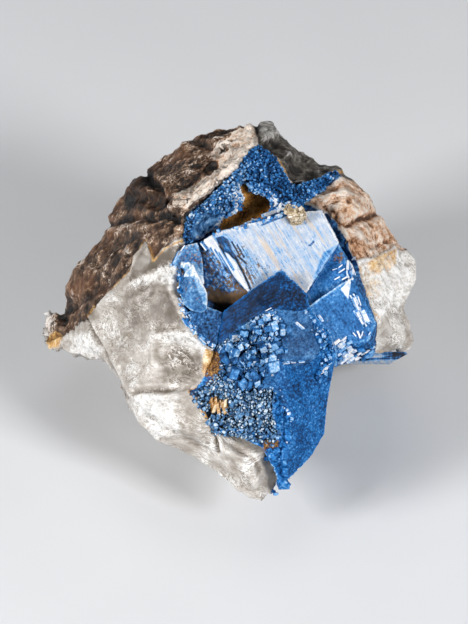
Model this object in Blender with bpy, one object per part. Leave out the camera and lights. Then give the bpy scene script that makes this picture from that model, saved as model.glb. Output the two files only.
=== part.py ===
"""Shattuckite specimen: blue crystals standing in a pocket of broken milky quartz.

The display face leans back at 45 degrees and the lump rests on a flat broken face at z = 0. Shapes are laid
out in display space, which looks straight at the display face: right, up and out, where out points towards
the viewer. Each landmark is a point read by hand from the photograph, with its height out of the display
plane in millimetres.
"""

import math

import bmesh
import bpy
import numpy as np
from mathutils import Vector, noise
from mathutils.geometry import delaunay_2d_cdt

# Driving dimensions
MM = 0.001
WIDTH = 85.0 * MM
PHOTO_SPAN = 378
PHOTO_MIDDLE = (228, 311)
PIXEL = WIDTH / PHOTO_SPAN
LEAN = math.radians(45)
LIFT = 43.8 * MM
MIDDLE_BACK = 10.95 * MM
GAP = 0.3 * MM
WELD = 0.001 * MM

# Point spacings of the faceted surfaces
MATRIX_SPACING = 2.1 * MM
HIDDEN_SPACING = 4.5 * MM
HIDDEN_EDGE = 8.5 * MM
PRISM_SPACING = 3.2 * MM
DRUSE_SPACING = 1.25 * MM
SCENE_SEED = 7

# Natural relief: the size of its lumps, their height and a seed
STRAND_SLANT = math.radians(38)
STRAND_STRETCH = (2.0, 0.8)
STRAND_RELIEF = (3.4 * MM, 1.7 * MM, 3.0)
RIND_RELIEF = (1.9 * MM, 0.6 * MM, 5.0)
QUARTZ_RELIEF = (7.0 * MM, 0.7 * MM, 7.0)
QUARTZ_STRETCH = (1.4, 0.8)
BROAD_BREAKS = (8.0 * MM, 2.2 * MM, 11.0)
SMALL_BREAKS = (3.6 * MM, 0.8 * MM, 13.0)
CRUST_RELIEF = (1.3 * MM, 1.6 * MM, 21.0)
CRUST_GRIT = 0.35 * MM
RIM_FADE = 4 * MM
RIM_RAGGED_SIZE = 1.7 * MM
RIM_RAGGED = 0.45 * MM
FOOT_FADE = 5 * MM
FLAT_FOOT = 0.25 * MM

# The lump's outline seen square to the display face, clockwise from the left
MATRIX_OUTLINE = {
    "left knob": (39, 334, -34),
    "knob top": (45, 312, -34),
    "knob notch": (60, 311, -33),
    "rind foot": (62, 300, -33),
    "low shoulder": (69, 270, -32),
    "low step": (86, 252, -31),
    "middle": (102, 233, -31),
    "middle shoulder": (111, 207, -30),
    "upper knob foot": (124, 192, -30),
    "upper knob": (132, 177, -29),
    "upper knob end": (145, 175, -28),
    "strand start": (149, 167, -28),
    "strand": (167, 154, -27),
    "strand shoulder": (181, 145, -26),
    "strand knob": (193, 134, -26),
    "strand knob end": (214, 133, -25),
    "strand end": (236, 128, -24),
    "seam top": (254, 124, -22),
    "cap top": (267, 121, -22),
    "cap shoulder": (279, 127, -22),
    "cap slope": (300, 151, -21),
    "cap middle": (319, 161, -20),
    "cap end": (343, 166, -20),
    "right rind top": (360, 183, -20),
    "right rind foot": (399, 243, -19),
    "right quartz top": (410, 247, -19),
    "right bulge": (417, 272, -18),
    "right waist": (408, 309, -16),
    "right low bulge": (415, 338, -17),
    "right low corner": (409, 353, -16),
    "right foot": (396, 358, -14),
    "right foot end": (374, 356, -11),
    "behind right crystal": (350, 350, -9),
    "behind prism top": (318, 362, -9),
    "behind prism middle": (300, 396, -8),
    "behind prism low": (290, 440, -5),
    "behind tip": (282, 478, -1),
    "tip right": (273, 496, -1),
    "tip": (261, 503, 0),
    "tip left": (250, 500, -1),
    "lower edge low": (230, 485, -1),
    "lower edge": (202, 465, -3),
    "lower edge bend": (178, 452, -3),
    "lower edge top": (159, 447, -3),
    "lower left": (132, 419, -4),
    "left edge low": (121, 396, -7),
    "left edge": (110, 374, -12),
    "lump notch": (101, 361, -17),
    "lump foot": (91, 365, -20),
    "lump bottom": (65, 354, -27),
    "lump end": (47, 351, -32),
}

QUARTZ_FACE = {
    "lump crown": (78, 343, -20),
    "lump shoulder": (64, 329, -26),
    "crease top": (84, 318, -16.5),
    "crease middle": (101, 350, -12),
    "crease low": (126, 398, -3.5),
    "face left": (118, 325, -9.5),
    "face top": (140, 292, -5),
    "face crest": (170, 287, 1),
    "wedge": (160, 258, -3),
    "ridge start": (148, 345, -1.5),
    "ridge end": (194, 334, 5),
    "scoop": (182, 363, 1),
    "ochre patch top": (208, 350, 3.5),
    "ochre patch": (212, 374, 2.5),
    "ledge left": (136, 390, -1.5),
    "ledge middle": (162, 386, 1),
    "ledge right": (189, 386, 3.5),
    "below ledge left": (145, 398, 1),
    "below ledge": (175, 396, 4.5),
    "lower face": (175, 425, 3.5),
    "crack top": (213, 435, 4),
    "lower face right": (232, 452, 4.5),
    "tan patch": (266, 450, 4.5),
    "near tip": (258, 482, 3),
}

LEFT_RIND = {
    "border left": (103, 294, -12.5),
    "border": (130, 262, -8),
    "border right": (149, 243, -5.5),
    "border end": (177, 244, 0.5),
    "outer low": (84, 287, -20),
    "outer": (103, 257, -18),
    "outer middle": (124, 233, -16),
    "inner low": (147, 226, -7),
    "lip foot": (183, 214, -1),
    "dark pit": (143, 199, -20),
    "pit lip": (160, 206, -9),
    "knob crown": (137, 187, -22),
    "groove left": (172, 193, -12),
    "groove": (194, 180, -13),
    "groove right": (213, 166, -13),
    "tan lip left": (180, 203, -3),
    "tan lip": (201, 195, -2.5),
    "tan lip middle": (223, 177, -3.5),
    "tan lip top": (247, 150, -8),
    "strand left": (161, 182, -15),
    "strand middle": (188, 163, -14),
    "strand right": (226, 142, -14),
}

POCKET_FLOOR = {
    "under druse top": (259, 153, -11.5),
    "under druse": (262, 176, -10.5),
    "under druse right": (293, 192, -11),
    "under druse strip": (325, 181, -13),
    "under druse left": (201, 222, -6),
    "hollow floor": (243, 213, -13),
    "hollow floor right": (262, 203, -12.5),
    "under pale crystal left": (230, 262, -7),
    "under pale crystal": (262, 250, -7),
    "under pale crystal right": (318, 232, -8),
    "right wall": (345, 256, -6),
    "left floor": (212, 322, -3),
    "under prism": (255, 330, -5),
    "under prism low": (262, 400, -4),
}

RIGHT_SIDE = {
    "rind lip": (331, 208, -4),
    "rind crown": (345, 194, -7),
    "rind shoulder": (363, 212, -9),
    "rind middle": (355, 227, -4.5),
    "rind knuckle": (346, 239, -3),
    "rind inner foot": (378, 251, -8),
    "quartz corner": (358, 261, -2.5),
    "rib edge top": (357, 283, -1),
    "rib edge": (378, 324, -4),
    "rib edge low": (377, 347, -9),
    "right face": (390, 285, -8.5),
    "right face low": (396, 330, -11),
    "cap seam left": (257, 143, -9),
    "cap seam": (291, 182, -9),
    "cap seam right": (338, 171, -13),
    "cap face": (290, 152, -15),
}

CREASES = [
    ("crease top", "crease middle"),
    ("crease middle", "crease low"),
    ("ledge left", "ledge middle"),
    ("ledge middle", "ledge right"),
    ("below ledge left", "below ledge"),
    ("groove left", "groove"),
    ("groove", "groove right"),
    ("tan lip left", "tan lip"),
    ("tan lip", "tan lip middle"),
    ("tan lip middle", "tan lip top"),
    ("strand left", "strand middle"),
    ("strand middle", "strand right"),
    ("ridge start", "ridge end"),
    ("rib edge top", "rib edge"),
]

# The hidden sides, in millimetres of the object's own frame: across, back, up
MATRIX_BACK = {
    "foot front left": (-10, -5, -1.2),
    "foot front": (7, -8, -1.2),
    "foot front right": (12, 3, -1.2),
    "foot right bend": (17, 14, -1.2),
    "foot right": (25, 24, -1.2),
    "foot rear right": (30, 32, -1.2),
    "foot rear": (10, 35, -1.2),
    "foot rear left": (-15, 33, -1.2),
    "foot far left": (-28, 24, -1.2),
    "foot left": (-21, 10, -1.2),
    "left side": (-34, 26, 14),
    "rear left": (-20, 38, 22),
    "rear left top": (-18, 36, 38),
    "rear": (10, 43.4, 25),
    "rear top": (8, 38, 45),
    "rear right": (28, 38, 21),
    "rear right top": (24, 34, 40),
    "right side": (38, 26, 20),
    "right side low": (36, 26, 7),
    "right underside": (31, 7, 16),
}

# The outline of the brown rind, for its coarser lumps
RIND_AREAS = [
    [(30, 320), (60, 240), (120, 150), (200, 120), (262, 112), (256, 143), (190, 215), (178, 243), (148, 240),
     (128, 262), (82, 318), (44, 345)],
    [(304, 196), (343, 170), (360, 178), (405, 243), (377, 256), (357, 258), (345, 237)],
    [(258, 143), (254, 112), (290, 112), (350, 160), (338, 171), (291, 182)],
]

# The large crystal in front
PRISM_OUTLINE = {
    "apex": (281, 268, 7),
    "left shoulder": (224, 311, 1),
    "left foot": (217, 345, 1),
    "druse west": (206, 374, 2.8),
    "druse corner": (194, 392, 3.6),
    "druse south west": (215, 433, 4.5),
    "druse south": (240, 437, 5.5),
    "druse south east": (262, 447, 6),
    "rib foot": (272, 466, 5),
    "tip left": (279, 485, 2.5),
    "tip": (290, 479, 1.5),
    "low corner": (311, 456, -1),
    "right low": (324, 434, -2),
    "right": (327, 402, -1.5),
    "right top": (334, 364, 0),
    "right shoulder": (330, 335, 3),
    "notch": (309, 307, 5),
    "top right": (306, 293, 5),
}
PRISM_FRONT = {
    "plateau left": (262, 312, 6.5),
    "haze": (290, 330, 8.5),
    "step left": (279, 359, 9),
    "step right": (322, 356, 4.5),
    "below step left": (281, 362, 8),
    "below step right": (320, 360, 3.6),
    "ridge top": (268, 383, 9),
    "ridge bend": (291, 417, 7.5),
    "ridge low": (280, 434, 7),
    "druse crown": (245, 372, 6),
    "druse low": (238, 412, 5),
    "druse dip": (214, 410, 2.5),
    "rib crown": (282, 460, 5.5),
}
PRISM_BACK = {
    "root top": (262, 320, -8),
    "root": (272, 370, -9),
    "root left": (228, 375, -4),
    "root low": (262, 425, -5),
    "side top": (312, 345, -9),
    "side": (306, 395, -10),
    "side low": (300, 440, -7),
}
PRISM_CREASES = [
    ("apex", "plateau left"),
    ("apex", "step left"),
    ("step left", "step right"),
    ("below step left", "below step right"),
    ("ridge top", "ridge bend"),
    ("ridge bend", "ridge low"),
]
DRUSE_AREA = [(232, 345), (262, 318), (276, 352), (268, 383), (287, 414), (276, 432), (240, 430), (218, 424),
              (222, 398), (200, 393), (212, 372)]
DRUSE_BLOCKS = 56
DRUSE_MARGIN = 1.9 * MM
DRUSE_SEED = 3
BLOCK_HALF = (0.5 * MM, 1.25 * MM)
BLOCK_PART_OF_ROOM = 0.28
BLOCK_SKEW = 0.28
BLOCK_SHAPE = (0.85, 0.75)
BLOCK_LEAN = 0.35
BLOCK_RISE = 0.25

# The blue crust round the brown hollow
CRUST_OUTLINE = {
    "top": (258, 145, -8.8),
    "top right": (275, 158, -8.6),
    "right": (290, 184, -8.2),
    "strip start": (301, 185, -9),
    "strip end": (337, 172, -12),
    "strip low": (325, 187, -9),
    "strip foot": (304, 200, -5),
    "right foot": (302, 206, -3.5),
    "above pale crystal": (284, 211, -2.5),
    "hollow foot": (269, 214, -4),
    "hollow right": (274, 203, -5),
    "hollow right top": (270, 196, -6),
    "hollow top": (259, 193, -6.5),
    "hollow step": (250, 191, -6),
    "small hole top": (247, 181, -6),
    "small hole": (239, 186, -5),
    "hollow neck": (243, 199, -5.5),
    "hollow left": (236, 211, -6.5),
    "hollow left foot": (222, 219, -8),
    "floor left": (218, 228, -9),
    "wall foot": (210, 231, -7.5),
    "left corner": (202, 237, -4),
    "left foot": (190, 243, -1),
    "left": (182, 236, -0.5),
    "left rise": (191, 215, -1),
    "left band": (206, 202, -2.5),
    "middle band": (226, 181, -4),
    "upper band": (244, 160, -6.5),
}
CRUST_FRONT = {
    "field top": (259, 156, -8),
    "field": (268, 175, -7),
    "field right": (284, 190, -6.5),
    "band": (240, 173, -4.5),
    "band low": (213, 207, -3),
    "wall": (208, 223, -5),
    "rim right": (286, 202, -4),
}
CRUST_DEPTH = 2.2 * MM

# Flat-faced crystals: corners of the shown face, then corners of the root
PALE_FACE = [
    (204, 240, 1.0), (217, 232, 0.4), (284, 214, 0.2), (322, 210, 0.0), (339, 242, 1.6),
    (322, 262, 2.4), (304, 296, 3.4), (282, 312, 3.8), (250, 291, 3.2),
]
PALE_ROOT = [
    (197, 262, -2.5), (206, 299, -3.5), (238, 313, -4.5), (212, 243, -7), (300, 225, -7), (326, 252, -6),
    (300, 300, -6),
]
LEFT_RHOMB = [
    (181, 263, 2.0), (188, 262, 3.2), (193, 265, 4.0), (207, 293, 4.6), (207, 309, 3.6), (202, 313, 3.2),
    (191, 310, 3.4), (183, 303, 2.6), (179, 285, 2.2), (190, 288, 5.2), (186, 270, -5), (202, 300, -5),
    (190, 306, -5),
]
LEFT_FACET = [
    (173, 263, 1.0), (186, 246, 1.2), (197, 243, 1.0), (202, 256, 1.4), (204, 284, 1.6), (186, 275, 0.6),
    (180, 262, -5), (196, 250, -5), (198, 280, -5),
]
LEFT_FLOOR = [
    (187, 312, 2.2), (204, 306, 1.2), (232, 316, -0.4), (226, 338, -0.2), (214, 349, 1.6), (203, 340, 2.6),
    (194, 330, 2.8), (200, 316, -6), (224, 322, -6), (210, 338, -6),
]
RIGHT_RHOMB = [
    (308, 307, 4.2), (341, 284, 3.4), (353, 278, 1.8), (376, 323, -0.6), (372, 351, -3.8), (360, 359, -4.6),
    (335, 367, -3.6), (332, 349, 0.2), (322, 330, 2.6), (336, 345, 1.4), (368, 340, -0.2),
    (314, 310, -8), (350, 288, -9), (366, 326, -11), (356, 348, -12), (338, 356, -11),
]
RIGHT_SHADED = [
    (322, 251, -1.5), (338, 243, -2.0), (347, 258, -1.8), (352, 279, 0.4), (341, 286, 1.4), (308, 306, 1.6),
    (305, 296, 0.4), (320, 262, -9), (346, 264, -9), (316, 300, -9),
]
CREAM_LUMP = [(287, 211), (293, 205), (302, 208), (305, 217), (300, 223), (291, 224)]
CREAM_BASE = -0.8
CREAM_TOP = 3.0

# The tabular crystal under the right quartz, in millimetres of the object's own frame
UNDERSIDE_OUTER = [(24, -7, 24), (31, -10, 26.5), (39, -10, 26.8), (38, -2, 17), (36, 9, 7.5), (25, 9, 7.5),
                   (23, 1, 15)]
UNDERSIDE_THICKNESS = 5.0

MATERIALS = {
    "quartz_matrix": ((0.72, 0.70, 0.66), 0.45),
    "prism_crystal": ((0.010, 0.085, 0.30), 0.60),
    "pale_crystal": ((0.55, 0.66, 0.84), 0.40),
    "left_crystals": ((0.05, 0.22, 0.55), 0.55),
    "right_crystals": ((0.03, 0.17, 0.50), 0.55),
    "upper_druse": ((0.06, 0.24, 0.56), 0.65),
    "underside_crystal": ((0.35, 0.48, 0.70), 0.50),
    "cream_crystal": ((0.72, 0.66, 0.52), 0.60),
}


def clear_scene():
    """Remove every object that the file starts with."""
    for item in list(bpy.data.objects):
        bpy.data.objects.remove(item, do_unlink=True)


def display(spot):
    """Turn a landmark of the photograph into display space: right, up, out, in metres."""
    across, down, out = spot
    return ((across - PHOTO_MIDDLE[0]) * PIXEL, (PHOTO_MIDDLE[1] - down) * PIXEL, out * MM)


def flat(spot):
    """The same for a point that only marks an area."""
    return display((spot[0], spot[1], 0.0))[:2]


def to_frame(points):
    """Turn display-space points into the object's own frame: across, back, height.

    It rests on z = 0, with the origin under the middle of its width and depth.
    """
    right, up, out = np.asarray(points, dtype=float).T
    back = up * math.sin(LEAN) - out * math.cos(LEAN) - MIDDLE_BACK
    height = up * math.cos(LEAN) + out * math.sin(LEAN) + LIFT
    return np.stack([right, back, height], axis=1)


def to_display(spot):
    """Turn a point of the object's frame, in millimetres, into display space."""
    across, back, height = (value * MM for value in spot)
    back += MIDDLE_BACK
    height -= LIFT
    up = back * math.sin(LEAN) + height * math.cos(LEAN)
    out = -back * math.cos(LEAN) + height * math.sin(LEAN)
    return (across, up, out)


def inside(points, polygon):
    """Tell which points lie in a polygon, by counting the edges to their right."""
    x, y = points[:, 0], points[:, 1]
    result = np.zeros(len(points), dtype=bool)
    for start, end in zip(polygon, polygon[1:] + polygon[:1]):
        crosses = (start[1] > y) != (end[1] > y)
        rise = end[1] - start[1]
        if rise == 0.0:
            continue
        edge_x = start[0] + (y - start[1]) * (end[0] - start[0]) / rise
        result ^= crosses & (x < edge_x)
    return result


def distance_to(points, polygon):
    """Distance from each point to the nearest edge of a polygon."""
    nearest = np.full(len(points), np.inf)
    for start, end in zip(polygon, polygon[1:] + polygon[:1]):
        start = np.array(start)
        run = np.array(end) - start
        along = np.clip((points - start) @ run / max(run @ run, 1e-18), 0.0, 1.0)
        nearest = np.minimum(nearest, np.linalg.norm(points - start - along[:, None] * run, axis=1))
    return nearest


def split_edges(loop, spacing):
    """Add evenly spaced points along a closed loop of display-space points."""
    result = []
    for start, end in zip(loop, loop[1:] + loop[:1]):
        start, end = np.array(start), np.array(end)
        steps = max(1, round(float(np.linalg.norm((end - start)[:2])) / spacing))
        result += [tuple(start + (end - start) * step / steps) for step in range(steps)]
    return result


def triangulate(points, edges, loops):
    """Triangulate flat points between fixed edges and keep what lies in the outline and out of the holes."""
    flat_points = [Vector(point[:2]) for point in points]
    verts, _, faces, origins, _, _ = delaunay_2d_cdt(flat_points, edges, [], 0, 1e-7, True)
    index = [sources[0] for sources in origins]
    middles = np.array([np.mean([verts[v] for v in face], axis=0) for face in faces])
    keep = inside(middles, loops[0])
    for hole in loops[1:]:
        keep &= ~inside(middles, hole)
    return [[index[v] for v in face] for face, kept in zip(faces, keep) if kept]


def read_heights(targets, points, triangles):
    """Heights of flat targets on a triangulated surface."""
    heights = np.zeros(len(targets))
    points = np.array(points)
    for triangle in triangles:
        a, b, c = points[triangle]
        area = (b[0] - a[0]) * (c[1] - a[1]) - (c[0] - a[0]) * (b[1] - a[1])
        if abs(area) < 1e-14:
            continue
        s = ((targets[:, 0] - a[0]) * (c[1] - a[1]) - (c[0] - a[0]) * (targets[:, 1] - a[1])) / area
        t = ((b[0] - a[0]) * (targets[:, 1] - a[1]) - (targets[:, 0] - a[0]) * (b[1] - a[1])) / area
        within = (s >= -1e-6) & (t >= -1e-6) & (s + t <= 1 + 1e-6)
        heights[within] = (a[2] + s * (b[2] - a[2]) + t * (c[2] - a[2]))[within]
    return heights


def loop_edges(loops):
    """Index pairs of the edges of several closed loops whose points follow each other."""
    edges = []
    first = 0
    for loop in loops:
        count = len(loop)
        edges += [(first + step, first + (step + 1) % count) for step in range(count)]
        first += count
    return edges


def spread_points(loops, spacing, rng):
    """A jittered triangular grid of flat points inside the outline, clear of every edge."""
    outline = np.array(loops[0])
    low, high = outline.min(axis=0), outline.max(axis=0)
    rows = np.arange(low[1], high[1], spacing * math.sqrt(0.75))
    points = []
    for number, row in enumerate(rows):
        start = low[0] + (0.5 * spacing if number % 2 else 0.0)
        columns = np.arange(start, high[0], spacing)
        points += [(column, row) for column in columns]
    points = np.array(points) + rng.uniform(-0.22, 0.22, (len(points), 2)) * spacing
    keep = inside(points, loops[0])
    for hole in loops[1:]:
        keep &= ~inside(points, hole)
    for loop in loops:
        keep &= distance_to(points, loop) > 0.55 * spacing
    return points[keep]


def sheet(rims, landmarks, creases, spacing, relief, rng):
    """One side of a relief solid: a surface over the outline, through its landmarks, with added relief.

    The first points of the result are the rim's own, so that both sides share them.
    """
    flat_rims = [[point[:2] for point in rim] for rim in rims]
    rim_points = [point for rim in rims for point in rim]
    names = list(landmarks)
    marks = [landmarks[name] for name in names]
    places = {name: len(rim_points) + step for step, name in enumerate(names)}
    known = [pair for pair in creases if pair[0] in places and pair[1] in places]
    crease_edges = [(places[start], places[end]) for start, end in known]
    coarse = rim_points + marks
    coarse_faces = triangulate(coarse, loop_edges(rims) + crease_edges, flat_rims)
    grid = spread_points(flat_rims, spacing, rng)
    if len(marks):
        mark_array = np.array([mark[:2] for mark in marks])
        apart = np.min(np.linalg.norm(grid[:, None, :] - mark_array[None, :, :], axis=2), axis=1)
        grid = grid[apart > 0.5 * spacing]
    for start, end in crease_edges:
        line = [coarse[start][:2], coarse[end][:2]]
        grid = grid[distance_to(grid, line) > 0.4 * spacing]
    heights = read_heights(grid, coarse, coarse_faces)
    fine = np.column_stack([grid, heights])
    inner = np.vstack([np.array(marks).reshape(-1, 3), fine])
    inner[:, 2] += relief(inner)
    points = rim_points + [tuple(point) for point in inner]
    faces = triangulate(points, loop_edges(rims) + crease_edges, flat_rims)
    return points, faces


def relief_solid(rims, front, back, wall=0.0):
    """Close a front and a back sheet into one mesh in the object's frame.

    The sheets share their rims, or stand a wall's height apart along them.
    """
    rim_count = sum(len(rim) for rim in rims)
    points, faces = front
    back_points, back_faces = back
    if wall == 0.0:
        shift = len(points) - rim_count
        every_point = list(points) + list(back_points[rim_count:])
        moved = [[v if v < rim_count else v + shift for v in face] for face in back_faces]
        sides = []
    else:
        shift = len(points)
        lowered = [(right, up, out - wall) for right, up, out in back_points[:rim_count]]
        every_point = list(points) + lowered + list(back_points[rim_count:])
        moved = [[v + shift for v in face] for face in back_faces]
        edges = [pair for face in faces for pair in zip(face, face[1:] + face[:1])]
        known = set(edges)
        open_edges = [(start, end) for start, end in edges if (end, start) not in known]
        sides = [[end, start, start + shift, end + shift] for start, end in open_edges]
    every_face = [list(face) for face in faces] + [list(reversed(face)) for face in moved] + sides
    return to_frame(every_point), every_face


def make_material(name):
    """A plain principled material with the piece's main colour."""
    colour, roughness = MATERIALS[name]
    material = bpy.data.materials.new(name)
    material.use_nodes = True
    shader = material.node_tree.nodes["Principled BSDF"]
    shader.inputs["Base Color"].default_value = (*colour, 1.0)
    shader.inputs["Roughness"].default_value = roughness
    shader.inputs["Metallic"].default_value = 0.0
    return material


def make_object(name, points, faces):
    """An object of the scene from points and faces in metres."""
    mesh = bpy.data.meshes.new(name)
    mesh.from_pydata([tuple(map(float, point)) for point in points], [], faces)
    mesh.update()
    item = bpy.data.objects.new(name, mesh)
    bpy.context.collection.objects.link(item)
    if name in MATERIALS:
        mesh.materials.append(make_material(name))
    return item


def hull(corners):
    """Points and faces of the smallest flat-faced solid round some corners."""
    work = bmesh.new()
    for corner in corners:
        work.verts.new(tuple(map(float, corner)))
    result = bmesh.ops.convex_hull(work, input=work.verts)
    spare = [item for item in result["geom_interior"] if isinstance(item, bmesh.types.BMVert)]
    bmesh.ops.delete(work, geom=spare, context="VERTS")
    bmesh.ops.recalc_face_normals(work, faces=work.faces)
    work.verts.index_update()
    points = [tuple(vert.co) for vert in work.verts]
    faces = [[vert.index for vert in face.verts] for face in work.faces]
    work.free()
    return points, faces


def hull_of_spots(spots):
    """A flat-faced crystal from landmarks of the photograph."""
    return hull(to_frame([display(spot) for spot in spots]))


def largest_piece(work):
    """Drop every loose crumb, so that a solid stays one closed body."""
    unseen = set(work.faces)
    pieces = []
    while unseen:
        front = [unseen.pop()]
        piece = list(front)
        while front:
            face = front.pop()
            for edge in face.edges:
                for other in edge.link_faces:
                    if len(edge.link_faces) == 2 and other in unseen:
                        unseen.discard(other)
                        piece.append(other)
                        front.append(other)
        pieces.append(piece)
    pieces.sort(key=len)
    crumbs = [face for piece in pieces[:-1] for face in piece]
    bmesh.ops.delete(work, geom=crumbs, context="FACES")


def settle(item, modifiers):
    """Apply an object's modifiers and clean the mesh that they leave."""
    graph = bpy.context.evaluated_depsgraph_get()
    mesh = bpy.data.meshes.new_from_object(item.evaluated_get(graph))
    for modifier in modifiers:
        item.modifiers.remove(modifier)
    work = bmesh.new()
    work.from_mesh(mesh)
    bmesh.ops.remove_doubles(work, verts=work.verts, dist=WELD)
    bmesh.ops.dissolve_degenerate(work, dist=WELD, edges=work.edges)
    largest_piece(work)
    bmesh.ops.triangulate(work, faces=work.faces)
    work.to_mesh(mesh)
    work.free()
    item.data = mesh


def join_solids(item, others):
    """Unite overlapping crystals into one solid."""
    for other in others:
        union = item.modifiers.new("grown together", "BOOLEAN")
        union.operation = "UNION"
        union.solver = "EXACT"
        union.use_self = True
        union.object = other
        settle(item, [union])
        bpy.data.objects.remove(other, do_unlink=True)


def socket(item):
    """A cutter for a solid's socket: its copy, larger by the gap on every face."""
    work = bmesh.new()
    work.from_mesh(item.data)
    bmesh.ops.recalc_face_normals(work, faces=work.faces)
    work.normal_update()
    moves = [vert.normal * GAP * min(vert.calc_shell_factor(), 2.5) for vert in work.verts]
    for vert, move in zip(work.verts, moves):
        vert.co += move
    points = [tuple(vert.co) for vert in work.verts]
    faces = [[vert.index for vert in face.verts] for face in work.faces]
    work.free()
    copy = make_object(item.name + "_socket", points, faces)
    copy.hide_render = True
    copy.display_type = "WIRE"
    return copy


def cut_sockets(item, cutters):
    """Cut the neighbours' sockets out of a solid in one step."""
    group = bpy.data.collections.new(item.name + "_sockets")
    for cutter in cutters:
        group.objects.link(cutter)
    cut = item.modifiers.new("sockets", "BOOLEAN")
    cut.operation = "DIFFERENCE"
    cut.solver = "EXACT"
    cut.operand_type = "COLLECTION"
    cut.collection = group
    settle(item, [cut])
    bpy.data.collections.remove(group)


def lumps(points, relief, stretch=(1.0, 1.0)):
    """Seeded natural relief: fractal lumps of one size, stretched along the strands of the rock."""
    size, height, seed = relief
    values = []
    for right, up, out in points:
        spot = Vector((right / (size * stretch[0]), up / (size * stretch[1]), out / size + seed))
        values.append(noise.fractal(spot, 1.0, 2.1, 3))
    return np.array(values) * height


def turned(points, angle):
    """Points turned about the viewing line, so that strands can run aslant."""
    right, up, out = points.T
    along = right * math.cos(angle) + up * math.sin(angle)
    across = -right * math.sin(angle) + up * math.cos(angle)
    return np.stack([along, across, out], axis=1)


def matrix_front_relief(points):
    """Lumpy, ropy rind and gentler broken quartz, fading out at the outline."""
    outline = [flat(spot) for spot in MATRIX_OUTLINE.values()]
    fade = np.clip(distance_to(points[:, :2], outline) / RIM_FADE, 0.0, 1.0)
    rind = np.zeros(len(points))
    for area in RIND_AREAS:
        rind = np.maximum(rind, inside(points[:, :2], [flat(spot) for spot in area]))
    strands = turned(points, STRAND_SLANT)
    rough = lumps(strands, STRAND_RELIEF, STRAND_STRETCH) + lumps(points, RIND_RELIEF)
    smooth = lumps(points, QUARTZ_RELIEF, QUARTZ_STRETCH)
    return fade * (rind * rough + (1.0 - rind) * smooth)


def no_relief(points):
    """A plain surface through its landmarks."""
    return np.zeros(len(points))


def rough_rim(rim, seed):
    """Shift the rim's points a little, as a broken edge runs."""
    points = np.array(rim)
    for axis in range(2):
        places = [Vector((*(point[:2] / RIM_RAGGED_SIZE), seed + axis)) for point in points]
        points[:, axis] += np.array([noise.noise(place) for place in places]) * RIM_RAGGED
    return [tuple(point) for point in points]


def break_hidden_sides(item):
    """Part the long faces of the hidden sides, ease them and give them broad broken relief."""
    viewer = Vector(to_frame([(0.0, 0.0, 1.0)])[0] - to_frame([(0.0, 0.0, 0.0)])[0])
    work = bmesh.new()
    work.from_mesh(item.data)
    for _ in range(3):
        long_edges = [edge for edge in work.edges if edge.calc_length() > HIDDEN_EDGE]
        bmesh.ops.subdivide_edges(work, edges=long_edges, cuts=1)
        bmesh.ops.triangulate(work, faces=work.faces)
    work.normal_update()
    hidden = [vert for vert in work.verts if all(face.normal.dot(viewer) < 0.0 for face in vert.link_faces)]
    raised = [vert for vert in hidden if vert.co.z > 1.2 * FLAT_FOOT]
    every_axis = {"use_axis_x": True, "use_axis_y": True, "use_axis_z": True}
    for _ in range(7):
        bmesh.ops.smooth_vert(work, verts=raised, factor=0.5, **every_axis)
    work.normal_update()
    spots = np.array([tuple(vert.co) for vert in raised])
    relief = lumps(spots, BROAD_BREAKS) + lumps(spots, SMALL_BREAKS)
    relief *= np.clip(spots[:, 2] / FOOT_FADE, 0.0, 1.0)
    for vert, height in zip(raised, relief):
        vert.co += vert.normal * float(height)
    work.to_mesh(item.data)
    work.free()


def make_matrix(rng):
    """The quartz lump with its rind and cap, resting on a flat broken face."""
    outline = [display(spot) for spot in MATRIX_OUTLINE.values()]
    rim = rough_rim(split_edges(outline, MATRIX_SPACING), 2.0)
    spots = {**QUARTZ_FACE, **LEFT_RIND, **POCKET_FLOOR, **RIGHT_SIDE}
    front_marks = {name: display(spot) for name, spot in spots.items()}
    back_marks = {name: to_display(spot) for name, spot in MATRIX_BACK.items()}
    front = sheet([rim], front_marks, CREASES, MATRIX_SPACING, matrix_front_relief, rng)
    back = sheet([rim], back_marks, [], HIDDEN_SPACING, no_relief, rng)
    points, faces = relief_solid([rim], front, back)
    points[:, 2] = np.where(points[:, 2] < FLAT_FOOT, 0.0, points[:, 2])
    item = make_object("quartz_matrix", points, faces)
    break_hidden_sides(item)
    settle(item, [])
    return item


def druse_blocks(surface, rng):
    """Blocky rhombs half sunk in the large crystal's left side, as one mesh."""
    points, faces = surface
    area = [flat(spot) for spot in DRUSE_AREA]
    low, high = np.min(area, axis=0), np.max(area, axis=0)
    outline = [flat(spot) for spot in PRISM_OUTLINE.values()]
    spots = rng.uniform(low, high, (DRUSE_BLOCKS * 6, 2))
    spots = spots[inside(spots, area) & (distance_to(spots, outline) > DRUSE_MARGIN)][:DRUSE_BLOCKS]
    heights = read_heights(spots, points, faces)
    room = distance_to(spots, outline)
    every_point = []
    every_face = []
    for spot, height, reach in zip(spots, heights, room):
        half = min(rng.uniform(*BLOCK_HALF), BLOCK_PART_OF_ROOM * reach)
        spin = rng.uniform(0.0, math.pi)
        tip, roll = rng.normal(0.0, BLOCK_LEAN), rng.normal(0.0, BLOCK_LEAN)
        corners = []
        for x in (-1, 1):
            for y in (-1, 1):
                for z in (-1, 1):
                    corners.append((x + BLOCK_SKEW * y, y * BLOCK_SHAPE[0], z * BLOCK_SHAPE[1]))
        corners = turned(np.array(corners) * half, spin)
        corners[:, 2] += tip * corners[:, 0] + roll * corners[:, 1]
        corners += np.array([spot[0], spot[1], height + BLOCK_RISE * half])
        block_points, block_faces = hull(to_frame(corners))
        start = len(every_point)
        every_point += block_points
        every_face += [[v + start for v in face] for face in block_faces]
    return make_object("druse_blocks", every_point, every_face)


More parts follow.
